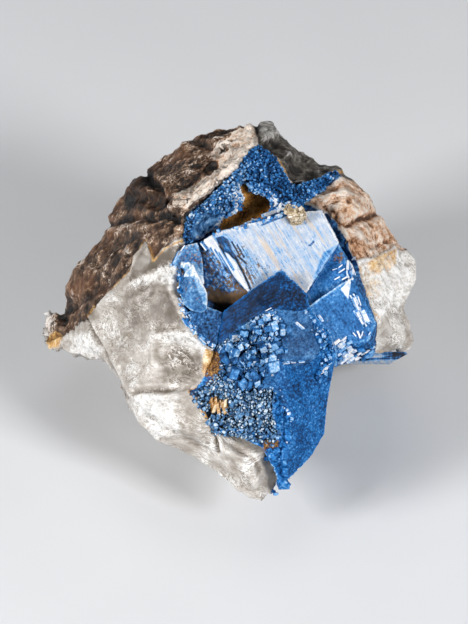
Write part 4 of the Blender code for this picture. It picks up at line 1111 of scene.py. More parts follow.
class SpecimenColours(bpy.types.PropertyGroup):
    """Colours of the minerals and the floor."""

    quartz_white: FloatVectorProperty(name="Quartz white", description="Colour of the cloudy quartz",
                                      default=linear("#fbfaf8"), **COLOUR)
    quartz_clear: FloatVectorProperty(name="Quartz clear", description="Colour of the clearer, greyer quartz",
                                      default=linear("#72685d"), **COLOUR)
    rind_dark: FloatVectorProperty(name="Rind dark", description="Colour of the rind in its folds",
                                   default=linear("#2c1f16"), **COLOUR)
    rind_light: FloatVectorProperty(name="Rind light", description="Colour of the rind on its crests",
                                    default=linear("#a98769"), **COLOUR)
    stain: FloatVectorProperty(name="Stain", description="Colour of the ochre along the seams",
                               default=linear("#a8743a"), **COLOUR)
    hollow_brown: FloatVectorProperty(name="Hollow brown", description="Colour of the hollow's rusty floor",
                                      default=linear("#cf8a32"), **COLOUR)
    blue_deep: FloatVectorProperty(name="Deep blue", description="Colour of the thick blue felt in the shade",
                                   default=linear("#04264a"), **COLOUR)
    blue_felt: FloatVectorProperty(name="Felt blue", description="Colour of the blue felt",
                                   default=linear("#08508f"), **COLOUR)
    blue_pale: FloatVectorProperty(name="Pale blue", description="Colour of thin, worn felt",
                                   default=linear("#78b0e0"), **COLOUR)
    floor: FloatVectorProperty(name="Floor", description="Colour of the floor under the specimen",
                               default=linear("#d8d9db"), **COLOUR)


# Pieces

def turned_lines(sight, degrees):
    """Places along and across lines that fall to the lower right at an angle, and out."""
    angle = math.radians(degrees)
    run = sight[:, 0] * math.cos(angle) - sight[:, 1] * math.sin(angle)
    cross = sight[:, 0] * math.sin(angle) + sight[:, 1] * math.cos(angle)
    return np.stack([run, cross, sight[:, 2]], axis=1)


def stripes(sight, degrees, across, along, seed):
    """Noise drawn out along lines that fall to the lower right at an angle, mostly from -1 to 1."""
    return fractal(turned_lines(sight, degrees) / (along, across, along), 1.0, 3, seed)


def strand_places(sight, points):
    """Places along, across and out of the strands of the two rinds, in millimetres."""
    warp = fractal(points, 9.0, 2, 12) * 1.6
    left = np.stack(along_band(sight, LEFT_SPINE), 1)
    right = np.stack(along_band(sight, RIGHT_SPINE), 1)
    share = ease(-4, 4, sight[:, 0] - RINDS_MEET)[:, None]
    flat = left * (1 - share) + right * share
    return np.column_stack([flat[:, 0] + warp * 0.4, flat[:, 1] + warp, sight[:, 2] + 0.6 * warp])


def break_places(sight, points):
    """Places along, across and out of the shell-like breaks of the quartz, whose lines bend slowly."""
    bend = fractal(points, 14.0, 2, 18) * 4.0
    return turned_lines(sight, BREAK_LINES) + np.column_stack([0.5 * bend, bend, 0.3 * bend])


def rind_relief(points, strands, lips, blush):
    """Ropes and chipped blocks drawn out along the strands, with short cross wrinkles on the lip."""
    lip, folded = lips
    return (0.6 * (1 - 0.6 * blush) * ridges(strands / (4.5, 1.0, 1.0), 5.5, 1, 21)
            + 0.3 * (1 - 0.7 * blush) * ridges(strands / (4.5, 1.0, 1.0), 2.2, 2, 22)
            + 1.1 * scoops(strands / (2.4, 1.0, 1.0), 4.4, 1.1, 24)
            + 0.6 * scoops(strands / (2.0, 1.0, 1.0), 2.0, 1.1, 25)
            + (0.05 + 0.75 * folded + 0.4 * lip) * ridges(strands / (1.0, 3.0, 1.0), 1.7, 2, 44)
            + 0.26 * fractal(points, 1.3, 3, 55))


def quartz_relief(points, flow, bright):
    """Shell-like breaks of three sizes, ripples along them, and a sugary crumble where it is bright."""
    swirl = points + fractal(points, 6.0, 2, 63)[:, None] * 1.2
    return (1.3 * scoops(flow / (1.8, 1.0, 1.0), 10.0, 1.0, 81)
            + 0.35 * scoops(swirl / (1.8, 1.0, 0.8), 4.2, 1.0, 82)
            + (0.08 + 0.5 * bright) * scoops(swirl / (1.4, 1.0, 1.0), 1.7, 1.1, 83)
            + (0.14 + 0.1 * bright) * ridges(flow / (3.5, 1.0, 1.0), 1.7, 2, 90)
            + (0.02 + 0.25 * bright) * fractal(points, 1.1, 2, 91))


def make_rock(sizes, colours):
    """The quartz with its rind: an even grid, its facets eased, moved outwards by folds and breaks."""
    points, faces = fine_grid("quartz_matrix", sizes.rock_grid / MM)
    points = ease_facets(points, faces, FACET_TURNS)
    facing = level_of(points, faces, FORM_TURNS)
    out = normals(smooth(points, faces, 2), faces)
    sight = to_sight(points)
    ragged = fractal(points, 5.0, 3, 5) * 0.9

    front = ease(-0.3, 0.05, facing)
    rear_rind = (points[:, 2] - REAR_RIND_FOOT) * 0.35 + fractal(points, 17.0, 3, 71) * 8
    rear_rind -= np.maximum(points[:, 0] - REAR_RIND_RIGHT, 0) * 0.5
    front_rind = np.maximum(area(sight, RIND_LEFT), area(sight, RIND_RIGHT))
    rind = front * front_rind + (1 - front) * np.clip(rear_rind, -6, 6) + 0.4 * ragged
    cap = np.where(front > 0.05, area(sight, CAP), FAR_OUTSIDE) + 0.3 * ragged
    cap = np.maximum(cap, np.where(front < 0.6, area(sight, CAP) * 0.6, FAR_OUTSIDE))
    blue = np.minimum(area(sight, BLUE), 0.5 * (sight[:, 2] + BLUE_DEPTH) + 4 * facing)
    hollow = np.where(sight[:, 2] > -HOLLOW_DEPTH, area(sight, HOLLOW), FAR_OUTSIDE)
    in_cap = ease(-0.4, 0.4, cap)
    in_rind = ease(-0.5, 0.5, rind) * (1 - in_cap)
    in_blue = ease(-0.6, 0.3, blue)
    in_quartz = np.clip(1 - in_rind - in_cap - in_blue, 0, 1)
    in_hollow = ease(-0.3, 0.3, hollow)
    blush = front * ease(-1, 1, area(sight, RIND_RIGHT))
    bright = inside(sight, BRIGHT_AREAS, 1.2)

    strands = strand_places(sight, points)
    flow = break_places(sight, points)
    lips = [inside(sight, [outline], 1.0) for outline in LIP_AREAS]
    slab = (0.9 * scoops(points, 4.5, 1.0, 61) + 0.5 * scoops(points, 1.8, 1.1, 64)
            + 0.12 * fractal(points, 1.2, 2, 62))
    granular, _ = domes(points, 0.95, 95)
    move = (in_rind * sizes.fold_height / MM * rind_relief(points, strands, lips, blush) + in_cap * slab
            + in_quartz * sizes.break_depth / MM * quartz_relief(points, flow, bright) * (1.8 - 0.8 * front)
            + 0.3 * in_blue * (1 - in_hollow) * (granular - 1.2) + 0.12 * in_hollow * granular)
    waver = fractal(points, 1.6, 2, 97)
    for line, width, height in ROCK_FORMS:
        gap = line_gap(sight, line) + 0.25 * width * waver
        move += front * height * np.exp(-(gap / width) ** 2)
    foot = ease(0.0, 2.0, points[:, 2])
    points = points + out * (move * foot)[:, None]

    # Dirt and painted shade in the deep folds, gaps and grooves
    dark = np.maximum(inside(sight, DARK_AREAS, 0.7), 0.8 * on_lines(sight, DARK_LINES))
    stain = np.maximum(inside(sight, STAIN_AREAS, 0.6), on_lines(sight, STAIN_LINES))
    stain = np.maximum(stain, 0.55 * inside(sight, CREAM_AREAS, 0.8)) * ease(-0.2, 0.2, facing)
    rear_seam = (1 - front) * np.exp(-(rind / 0.8) ** 2) * ease(-0.2, 0.5, fractal(points, 6.0, 2, 15))
    grey = np.maximum(on_lines(sight, GREY_LINES), inside(sight, GREY_AREAS, 1.5))
    dark = np.maximum(dark, 0.8 * inside(sight, GREY_AREAS[:1], 0.7))
    marks = {
        "rind": rind, "cap": cap, "blue": blue, "hollow": hollow, "blush": blush,
        "strand": (strands * in_rind[:, None] + turned_lines(sight, CAP_LINES) * in_cap[:, None]
                   + flow * (1 - in_rind - in_cap)[:, None]),
        "stain": np.maximum(stain, rear_seam), "lip": np.maximum(front * np.maximum(*lips), blush),
        # On the lips the bright mark is a painted highlight
        "bright": front * np.maximum(bright, np.maximum(*lips)), "grey": front * grey, "dark": front * dark,
        # Relief close by and further round: painted highlight on crests and painted shade in hollows
        "near": np.clip(relief_of(points, faces, 3) / NEAR_RELIEF, -1, 1),
        "far": np.clip(relief_of(points, faces, 24) / FAR_RELIEF, -1, 1),
    }
    place("rock", points, faces, marks, rock_material(colours), "quartz_matrix")


def edge_highlight_and_gap_shade(points, faces, strength=5.0):
    """Painted highlight on edges and painted shade in gaps, from how far the points stand proud."""
    return np.clip(relief_of(points, faces, 4) * strength, -0.35, 0.5)


def make_prism(sizes, colours):
    """The large crystal: flat felted faces, a step round its hazy top, a pebbled druse on its near side."""
    points, faces, out, sight = crystal_surface("prism_crystal", sizes.crystal_grid / MM, 2)
    plateau = area(sight, PLATEAU) + 0.35 * fractal(points, 1.6, 3, 7)
    on_plateau = ease(-0.12, 0.12, plateau)
    on_edge = inside(sight, [RIGHT_EDGE], 0.4)
    blob = inside(sight, [BLUE_BLOB], 0.25)
    in_druse = inside(sight, [FRONT_DRUSE], 0.4) * (1 - blob)
    coarse = inside(sight, [COARSE_DRUSE], 1.0)
    pebble, pebble_tone = domes(points, 0.75, 13)
    felt = 0.05 * fractal(points, 0.8, 3, 9) + 0.06 * fractal(points, 3.5, 2, 10)
    move = (felt + 0.12 * on_plateau + 0.3 * on_edge * pebble + in_druse * (0.55 * pebble - 0.35) + 0.4 * blob
            - 0.3 * coarse)
    points = points + out * (move + 0.18)[:, None]

    left = inside(sight, [LEFT_SHADE], 0.35) * (1 - in_druse)
    right = inside(sight, [RIGHT_SHADE], 0.35)
    grooves = stripes(sight, PRISM_LINES, 0.35, 2.6, 15)
    # Pebbles along the edge and in the druse are lighter on their crowns, a painted highlight; the druse is
    # darker under its coarse part, painted shade
    tone = (0.38 - 0.02 * on_plateau - 0.2 * left - 0.2 * right + 0.05 * grooves + 0.07 * left * grooves
            + 0.1 * on_edge * pebble)
    druse_tone = 0.16 + 0.36 * pebble + 0.3 * (pebble_tone - 0.5) - 0.24 * coarse
    tone = tone * (1 - in_druse) + druse_tone * in_druse - 0.08 * blob
    # Darker where the rock's gap meets the prism: dirt and painted shade, as on the rock
    tone -= 0.4 * inside(sight, DARK_AREAS[-2:-1], 0.4)
    marks = {"tone": tone, "edge": edge_highlight_and_gap_shade(points, faces, 3.0) * (1 - 0.7 * blob),
             "dust": in_druse * (1.2 - 0.8 * coarse) + 0.5 * on_plateau * (1 - in_druse),
             "speck": 0.5 * (1 - left - right) * (1 - in_druse) + 2.2 * inside(sight, STAIN_ON_PRISM, 0.5),
             "grain": 0.85 - 0.5 * left - 0.1 * right - 0.3 * on_plateau}
    place("prism", points, faces, marks, felt_material("shattuckite_felt_on_prism", colours, 0.1),
          "prism_crystal")


def make_pale_plate(sizes, colours):
    """The pale tabular crystal: growth lines as fine grooves, white and blue wedges, a dark speckled side with
    painted shade at its foot.
    """
    points, faces, out, sight = crystal_surface("pale_crystal", sizes.crystal_grid / MM, 1)
    level = level_of(points, faces, FACE_TURNS)
    top = ease(0.55, 0.75, level) * ease(-0.6, 0.0, area(sight, PALE_TOP))
    lines = stripes(sight, PLATE_LINES, 0.45, 10.0, 101)
    wide = stripes(sight, PLATE_LINES, 1.6, 16.0, 103)
    at_left = inside(sight, [PLATE_LEFT], 0.3)
    wedge = inside(sight, WHITE_WEDGES, 0.12)
    blue = inside(sight, PLATE_BLUE, 0.15)
    slits = on_lines(sight, PLATE_SLITS)
    freckled = inside(sight, [PLATE_FRECKLES], 1.2)
    upper_edge = on_lines(sight, [(PLATE_UPPER_EDGE, 0.4)])
    foot = inside(sight, [SHADED_PLATE_FOOT], 1.0)
    beaded = (1 - top) * (1 - inside(sight, [PLATE_NOTCH], 0.4))
    move = (top * (0.04 * lines + 0.08 * wide + 0.22 * wedge - 0.2 * blue - 0.25 * slits)
            + (1 - top) * 0.1 * stripes(sight, PLATE_LINES, 0.9, 6.0, 109)
            + 0.05 * fractal(points, 1.2, 3, 110))
    points = points + out * (move + 0.15)[:, None]

    tone = top * (0.74 + 0.05 * lines + 0.06 * wide + 0.2 * upper_edge - 0.1 * freckled)
    tone += top * (at_left * (1 - wedge) * -0.18 + 0.14 * wedge - 0.32 * blue - 0.62 * slits)
    tone += (1 - top) * (0.36 + 0.03 * stripes(sight, PLATE_LINES, 0.7, 7.0, 111))
    # The foot of the side is darkened with painted shade; it also has rust specks
    marks = {
        "tone": tone - 0.3 * foot, "edge": edge_highlight_and_gap_shade(points, faces, 3.0),
        "strand": turned_lines(sight, PLATE_LINES),
        "tan": (top * ease(0.1, 0.6, stripes(sight, PLATE_LINES, 0.8, 12.0, 113))
                * ease(-2, 8, sight[:, 0]) * (1 - at_left)),
        "speck": beaded * 0.62 + 0.5 * top * freckled + 0.5 * foot,
        "hairs": top * (0.9 + 0.8 * freckled - 0.5 * wedge), "side": beaded,
    }
    place("pale_plate", points, faces, marks, plate_material("pale_shattuckite_on_quartz_plate", colours),
          "pale_crystal")


def make_left_crystals(sizes, colours):
    """The crystals left of the plate: felted faces, a white knob, one face lightened by a painted highlight
    and pits dark with painted shade.
    """
    points, faces, out, sight = crystal_surface("left_crystals", sizes.crystal_grid / MM, 1)
    knob = inside(sight, [LEFT_KNOB], 0.15)
    light = inside(sight, [LEFT_PAINTED_LIT_FACE], 0.12)
    low = ease(-1, -4, sight[:, 1] - up_of(LEFT_LOW_ROW))
    felt = 0.06 * fractal(points, 0.8, 3, 201) + 0.08 * fractal(points, 2.6, 2, 202)
    points = points + out * (felt + 0.45 * knob * scoops(points, 1.2, 1.0, 203) + 0.12)[:, None]
    facet = ease(0, 1.5, sight[:, 1] - up_of(LEFT_FACET_ROW))
    # Painted highlight on the lit face and the upper facet, painted shade in the pits
    tone = (0.43 + 0.42 * knob + 0.24 * light - 0.12 * low + 0.04 * facet
            + 0.08 * stripes(sight, LEFT_LINES, 0.45, 4.0, 204) - 0.5 * inside(sight, LEFT_PITS, 0.2))
    marks = {"tone": tone, "edge": edge_highlight_and_gap_shade(points, faces), "dust": 0.6 - 0.2 * low,
             "grain": 0.45 + 0.4 * low,
             "speck": (1.2 + 0.5 * facet) * (1 - low) * (1 - knob) * (1 - light)}
    place("left_rhombs", points, faces, marks,
          felt_material("shattuckite_felt_on_left_crystals", colours, 0.1), "left_crystals")


def make_right_crystals(sizes, colours):
    """The crystals right of the prism: a smooth face, a deep blue wall darkened by painted shade, and broken
    ribs along the quartz.
    """
    points, faces, out, sight = crystal_surface("right_crystals", sizes.crystal_grid / MM, 1)
    level = level_of(points, faces, FACE_TURNS)
    triangle = inside(sight, [WHITE_TRIANGLE], 0.12)
    band = inside(sight, RIB_AREAS, 0.2)
    broken = ease(-0.1, 0.1, fractal(points, 1.6, 2, 213))
    waves = TWO_PI * line_gap(sight, RIB_EDGE) / RIB_PITCH + noise(points, 2.5, 211)
    ribs = np.sin(waves) * (0.4 + 0.6 * broken)
    corner = inside(sight, WHITE_BLOCKS, 0.3)
    spot = inside(sight, [BROWN_SPOT], 0.5)
    # The wall, where the faces turn from the viewer, is darkened with painted shade
    wall = ease(0.8, 0.55, level)
    felt = 0.05 * fractal(points, 0.8, 3, 214) + 0.06 * fractal(points, 3.0, 2, 215)
    move = felt + 0.15 * band * ease(-0.2, 0.3, ribs) - 0.2 * corner
    points = points + out * (move + 0.16)[:, None]
    tone = (0.47 - 0.22 * wall + 0.5 * triangle + band * (0.5 * ease(0.05, 0.4, ribs) - 0.06) - 0.12 * corner
            + 0.08 * stripes(sight, RIGHT_LINES, 0.45, 4.0, 216))
    marks = {"tone": tone, "edge": edge_highlight_and_gap_shade(points, faces), "speck": 0.35 + 1.6 * spot,
             "dust": np.full(len(points), 0.2), "grain": 0.45 + 0.4 * wall}
    place("right_rhombs", points, faces, marks,
          felt_material("shattuckite_felt_on_right_crystals", colours, 0.1), "right_crystals")


def make_underside(sizes, colours):
    """The blue tabular crystal low at the right: pale growth lines, its right end drawn out to a low tip."""
    points, faces, out, _ = crystal_surface("underside_crystal", sizes.crystal_grid / MM, 1)
    near = ease(0.2, 0.7, level_of(points, faces, FACE_TURNS))
    lines = (fractal(points / (0.6, 9.0, 9.0), 1.0, 3, 301) * (1 - near)
             + fractal(points / (5.0, 0.9, 0.9), 1.0, 3, 303) * near)
    points = points + out * (0.1 * lines + 0.1)[:, None]
    points[:, 2] += 0.7 * ease(20, 38, points[:, 0])
    sight = to_sight(points)
    run = sight[:, 0] + 1.8 * ease(30, 38, sight[:, 0])
    top = up_of(UNDERSIDE_TOP_ROW) + 6 * ease(34, 28, run)
    foot = np.interp(run, UNDERSIDE_FOOT_RIGHT, UNDERSIDE_FOOT_UP)
    points = from_sight(np.column_stack([run, np.minimum(np.maximum(sight[:, 1], foot), top),
                                         sight[:, 2] + 1.3 * ease(-20, -14, sight[:, 2])]))
    marks = {"tone": (0.62 + 0.2 * lines) * (1 - near) + (0.3 + 0.5 * lines) * near,
             "edge": edge_highlight_and_gap_shade(points, faces), "tan": ease(0.4, 0.9, lines) * 0.4 * (1 - near),
             "speck": np.full(len(points), 0.25), "hairs": np.full(len(points), 0.4), "side": 0.3 * near,
             "strand": points[:, [1, 0, 2]]}
    place("underside_plate", points, faces, marks, plate_material("pale_shattuckite_under_plate", colours),
          "underside_crystal")


def make_upper_crust(sizes, colours):
    """The blue crust round the hollow: round grains with beads on them, but for its smoother left wall."""
    points, faces, out, sight = crystal_surface("upper_druse", sizes.crystal_grid / MM, 1)
    wall = ease(-0.6, 0.9, area(sight, SMOOTH_WALL))
    band = inside(sight, [CRUST_BAND], 1.0) * (1 - wall)
    warp = points + fractal(points, 2.0, 2, 404)[:, None] * 0.5
    lump, lump_tone = domes(warp, sizes.grain_size / MM, 401)
    bead, bead_tone = domes(points, 0.42, 402)
    swell = fractal(points, 3.2, 2, 403)
    rough = 1 - 0.85 * wall
    points = points + out * (rough * (0.65 * lump + 0.18 * bead - 0.3) + 0.4 * swell + 0.1)[:, None]
    rim = np.exp(-(np.abs(area(sight, HOLLOW)) / 0.6) ** 2)
    # Lighter on the grains' crowns and darker between them: painted highlight and painted shade
    grain_tone = 0.04 + 0.32 * lump + 0.1 * bead + 0.16 * (lump_tone - 0.5) + 0.08 * (bead_tone - 0.5)
    tone = rough * (grain_tone + 0.1) + wall * (0.4 + 0.35 * fractal(points, 1.8, 3, 405))
    tone += band * 0.4 * ease(0.35, 0.9, lump) * lump_tone + 0.5 * rim * ease(-0.4, 0.1, swell)
    tone += 0.7 * inside(sight, CRUST_LIGHT, 0.5) * ease(-0.9, -0.1, fractal(points, 1.5, 2, 406))
    marks = {"tone": tone, "edge": edge_highlight_and_gap_shade(points, faces, 0.8),
             "dust": 0.15 * rough + 0.7 * wall + 0.4 * band, "speck": 0.2 * rough, "grain": 0.5 + 0.4 * rough}
    place("upper_crust", points, faces, marks, felt_material("shattuckite_crust", colours, 0.2),
          "upper_druse")


def place_rhombs(name, seats, frames, halves, lean, tones, material, node, sink=0.3, dust=0.0):
    """Sets rhombs on their seats, sunk in by a share of their height, with tops lighter than their sides:
    paler crystal and painted highlight.
    """
    middles = from_sight(seats) + frames[:, :, 2] * (halves[:, 2] * (1 - 2 * sink))[:, None]
    points, faces, top, count = rhombs(middles, frames, halves, lean)
    side_tone, top_tone = (np.repeat(t, count) for t in tones)
    marks = {"tone": side_tone + (top_tone - side_tone) * top, "edge": np.zeros(len(points)),
             "speck": np.full(len(points), 0.2), "grain": np.full(len(points), 0.7),
             "dust": np.repeat(dust * np.ones(len(seats)), count)}
    place(name, points, faces, marks, material, node, whole=False)


def make_crust_grains(sizes, colours):
    """Rhombs under a millimetre wide, strewn over the crust in all directions."""
    rng = np.random.default_rng(sizes.druse_seed + 2)
    seats, facing = FrontMap([SURFACES["upper_crust"], SURFACES["rock"]]).seat(scatter(CRUST, 0.85, rng))
    halves = half_sizes(rng, len(seats), 0.12, 0.34, 0.7, 1.3)
    side = rng.uniform(0.15, 0.4, len(seats))
    top = side + 0.22 * rng.uniform(0, 1, len(seats)) ** 2
    rim = np.exp(-(np.abs(area(seats, HOLLOW)) / 0.8) ** 2) + 0.7 * inside(seats, [CRUST_BAND], 1.0)
    place_rhombs("crust_grains", seats, frames_on(facing, rng, 0.5), halves, 0.25,
                 (side + 0.25 * rim, top + 0.25 * rim),
                 felt_material("shattuckite_on_crust_grains", colours, 0.1), "upper_druse", dust=0.2)


def make_front_druse(sizes, colours):
    """Rhombs on the prism's near side: large with pale flat tops above, fine below and along its edge."""
    rng = np.random.default_rng(sizes.druse_seed)
    front_map = FrontMap([SURFACES["prism"], SURFACES["rock"]])
    groups = []

    def strew(flat, small, large, even, sides, tops, tilt, dust):
        """One group: half sizes from small to large, more of them small, and the ranges of its tones."""
        seats, facing = front_map.seat(flat)
        count = len(seats)
        size = small + (large - small) * rng.uniform(0, 1, count) ** 2
        halves = size[:, None] * rng.uniform(1 - even, 1 + even, (count, 3))
        turned = frames_on(facing * 0.6 + TO_VIEWER * 0.4, rng, tilt, (0.3, 0.7))
        pale = tops[0] + (tops[1] - tops[0]) * rng.uniform(0, 1, count) ** 1.2
        groups.append((seats, halves, rng.uniform(*sides, count), pale, turned, np.full(count, dust)))

    fine = scatter(FRONT_DRUSE, sizes.druse_spacing / MM, rng)
    fine = fine[rng.uniform(0, 1, len(fine)) > 0.25]
    strew(fine, 0.16, 0.42, 0.25, (0.25, 0.5), (0.45, 0.9), 0.4, 0.8)
    strew(scatter(COARSE_DRUSE, sizes.block_spacing / MM, rng), 0.5, 1.15, 0.35, (0.2, 0.42), (0.36, 0.85),
          0.25, 0.3)
    strew(scatter(COARSE_DRUSE, 0.95, rng), 0.25, 0.75, 0.4, (0.2, 0.42), (0.33, 0.85), 0.4, 0.4)
    strew(scatter(RIGHT_EDGE, 0.75, rng), 0.25, 0.55, 0.3, (0.25, 0.4), (0.4, 0.85), 0.3, 0.0)
    strew(scatter_on_line(RIB_LINE, 1.3, 0.5, rng), 0.6, 1.1, 0.25, (0.3, 0.4), (0.42, 0.6), 0.25, 0.0)
    strew(scatter(LOW_PATCH, 1.3, rng), 0.5, 0.9, 0.25, (0.3, 0.4), (0.4, 0.55), 0.2, 0.0)
    seats, halves, side, top, frames, dust = (np.concatenate(column) for column in zip(*groups))
    place_rhombs("front_druse", seats, frames, halves, 0.3, (side, top),
                 felt_material("shattuckite_on_druse", colours, 0.12), "prism_crystal", dust=dust)


def make_white_blades(sizes, colours):
    """Thin white blades of broken crystal edges, laid from end to end of short lines."""
    rng = np.random.default_rng(sizes.druse_seed + 3)
    ends = spots(np.array(BLADES, float).reshape(-1, 2)).reshape(-1, 2, 2)
    middles, runs = ends.mean(1), ends[:, 1] - ends[:, 0]
    seats, facing = FrontMap(list(SURFACES.values())).seat(middles)
    run = runs[((seats[:, None, :2] - middles[None]) ** 2).sum(2).argmin(1)]
    frames = frames_on(facing, rng, 0.08, (np.arctan2(run[:, 1], run[:, 0]), 0.05))
    half = np.hypot(*run.T) / 2
    halves = np.column_stack([half, half * rng.uniform(0.12, 0.26, len(run)), np.full(len(run), 0.3)])
    side = rng.uniform(0.5, 0.8, len(run))
    place_rhombs("white_blades", seats, frames, halves, 0.1, (side, side + 0.35),
                 felt_material("shattuckite_on_blades", colours, 0.05), "prism_crystal")


def make_rim_grains(sizes, colours):
    """White and light-blue bits along the borders of the blue and in the broken corner."""
    rng = np.random.default_rng(sizes.druse_seed + 5)
    front_map = FrontMap(list(SURFACES.values()))
    flat = np.concatenate([scatter_on_line(line, spacing, width, rng) for line, spacing, width in RIM_LINES])
    seats, facing = front_map.seat(flat)
    halves = half_sizes(rng, len(seats), 0.12, 0.4, 0.7, 1.3)
    side = rng.uniform(0.25, 0.8, len(seats))
    block_seats, block_facing = front_map.seat(np.concatenate([scatter(b, 0.85, rng) for b in WHITE_BLOCKS]))
    block_halves = half_sizes(rng, len(block_seats), 0.3, 0.85, (0.8, 0.5, 0.3), (1.3, 0.9, 0.5))
    block_side = rng.uniform(0.35, 0.95, len(block_seats))
    frames = np.concatenate([frames_on(facing, rng, 0.5), frames_on(block_facing, rng, 0.15, (0.6, 0.2))])
    seats = np.concatenate([seats, block_seats])
    halves = np.concatenate([halves, block_halves])
    side = np.concatenate([side, block_side])
    place_rhombs("rim_grains", seats, frames, halves, 0.25, (side, side + rng.uniform(0.05, 0.3, len(side))),
                 felt_material("shattuckite_on_rims", colours, 0.1), "upper_druse", sink=0.4)


def make_hollow_grains(sizes, colours):
    """Rusty grains on the hollow's floor."""
    rng = np.random.default_rng(sizes.druse_seed + 7)
    seats, facing = FrontMap([SURFACES["rock"]]).seat(scatter(HOLLOW, 0.7, rng))
    halves = half_sizes(rng, len(seats), 0.08, 0.26, 0.7, 1.3)
    side = rng.uniform(0.25, 0.65, len(seats))
    place_rhombs("hollow_grains", seats, frames_on(facing, rng, 0.5), halves, 0.2,
                 (side, side + rng.uniform(0, 0.3, len(seats))),
                 stone_bit_material("limonite_grains", "#5a330e", colours.hollow_brown, "#d9ab66", 0.4),
                 "quartz_matrix", sink=0.45)


def make_cream_lump(sizes, colours):
    """The cream crystal on the pale plate: a chipped lump with painted shade in its cracks and painted
    highlight on its crowns, and small blocks grown on it.
    """
    points, faces, out, _ = crystal_surface("cream_crystal", LUMP_GRID, 2)
    chips = 1.1 * scoops(points, 2.4, 1.0, 601) + 0.45 * scoops(points, 0.9, 1.0, 603)
    points = points - out * (0.3 + chips - 0.1 * fractal(points, 0.7, 2, 602))[:, None]
    # Painted shade in the cracks and painted highlight on the crowns, from how far the points stand proud
    crack_shade_and_crown_light = np.clip(relief_of(points, faces, 5) * 6, -0.7, 0.45)
    marks = {"tone": 0.38 + crack_shade_and_crown_light + 0.2 * fractal(points, 1.5, 2, 604)}
    material = stone_bit_material("stained_quartz_lump", "#3a2412", "#b8a27e", "#f6efe2", 0.35)
    place("cream_lump", points, faces, marks, material, "cream_crystal")
    rng = np.random.default_rng(sizes.druse_seed + 11)
    seats, facing = FrontMap([SURFACES["cream_lump"]]).seat(scatter(LUMP, 0.62, rng))
    halves = half_sizes(rng, len(seats), 0.22, 0.52, 0.6, 1.3)
    side = rng.uniform(0.2, 0.6, len(seats))
    place_rhombs("cream_blocks", seats, frames_on(facing * 0.6 + TO_VIEWER * 0.4, rng, 0.4), halves, 0.2,
                 (side, side + rng.uniform(0.1, 0.5, len(seats))), material, "cream_crystal", sink=0.4)


def make_golden_blades(sizes, colours):
    """Golden stained blades of quartz, side by side, left of the front druse."""
    rng = np.random.default_rng(sizes.druse_seed + 9)
    seats, facing = FrontMap([SURFACES["prism"], SURFACES["rock"]]).seat(spots(GOLDEN_BLADES))
    count = len(seats)
    halves = rng.uniform((0.3, 0.9, 0.6), (0.5, 1.5, 0.9), (count, 3))
    frames = frames_on(facing * 0.3 + TO_VIEWER * 0.7, rng, 0.15, (0.15, 0.15))
    side = rng.uniform(0.3, 0.6, count)
    place_rhombs("golden_blades", seats, frames, halves, 0.3, (side, side + rng.uniform(0.1, 0.4, count)),
                 stone_bit_material("golden_stained_quartz", "#4a2c0e", "#b9843f", "#f6e6c4", 0.3),
                 "prism_crystal")


def look_along(position, back):
    """A placing whose own -Z looks against back, with its own X level."""
    back = back / np.linalg.norm(back)
    side = np.cross((0, 0, 1), back)
    side /= np.linalg.norm(side)
    up = np.cross(back, side)
    return Matrix([[side[k], up[k], back[k], position[k]] for k in range(3)] + [[0, 0, 0, 1]])


# Name, degrees to the right of the front, degrees above the ground, width in metres and power in watts
LIGHTS = [
    ("left_light", -62, 30, 0.2, 4.6),
    ("right_light", 48, 34, 0.2, 4.2),
    ("top_light", 170, 72, 0.4, 0.7),
]
LIGHT_DISTANCE = 0.75
LIGHT_AIM = (0, 0, 0.03)
ROOM_LIGHT = 0.15

# The floor's reach to either side in metres, and its drop below the specimen in millimetres
FLOOR_REACH = 1.5
FLOOR_DROP = 0.2

# The camera's distance in metres, and the photograph's width and height in pixels
CAMERA_DISTANCE = 3.0
FRAME_PIXELS = (468, 624)


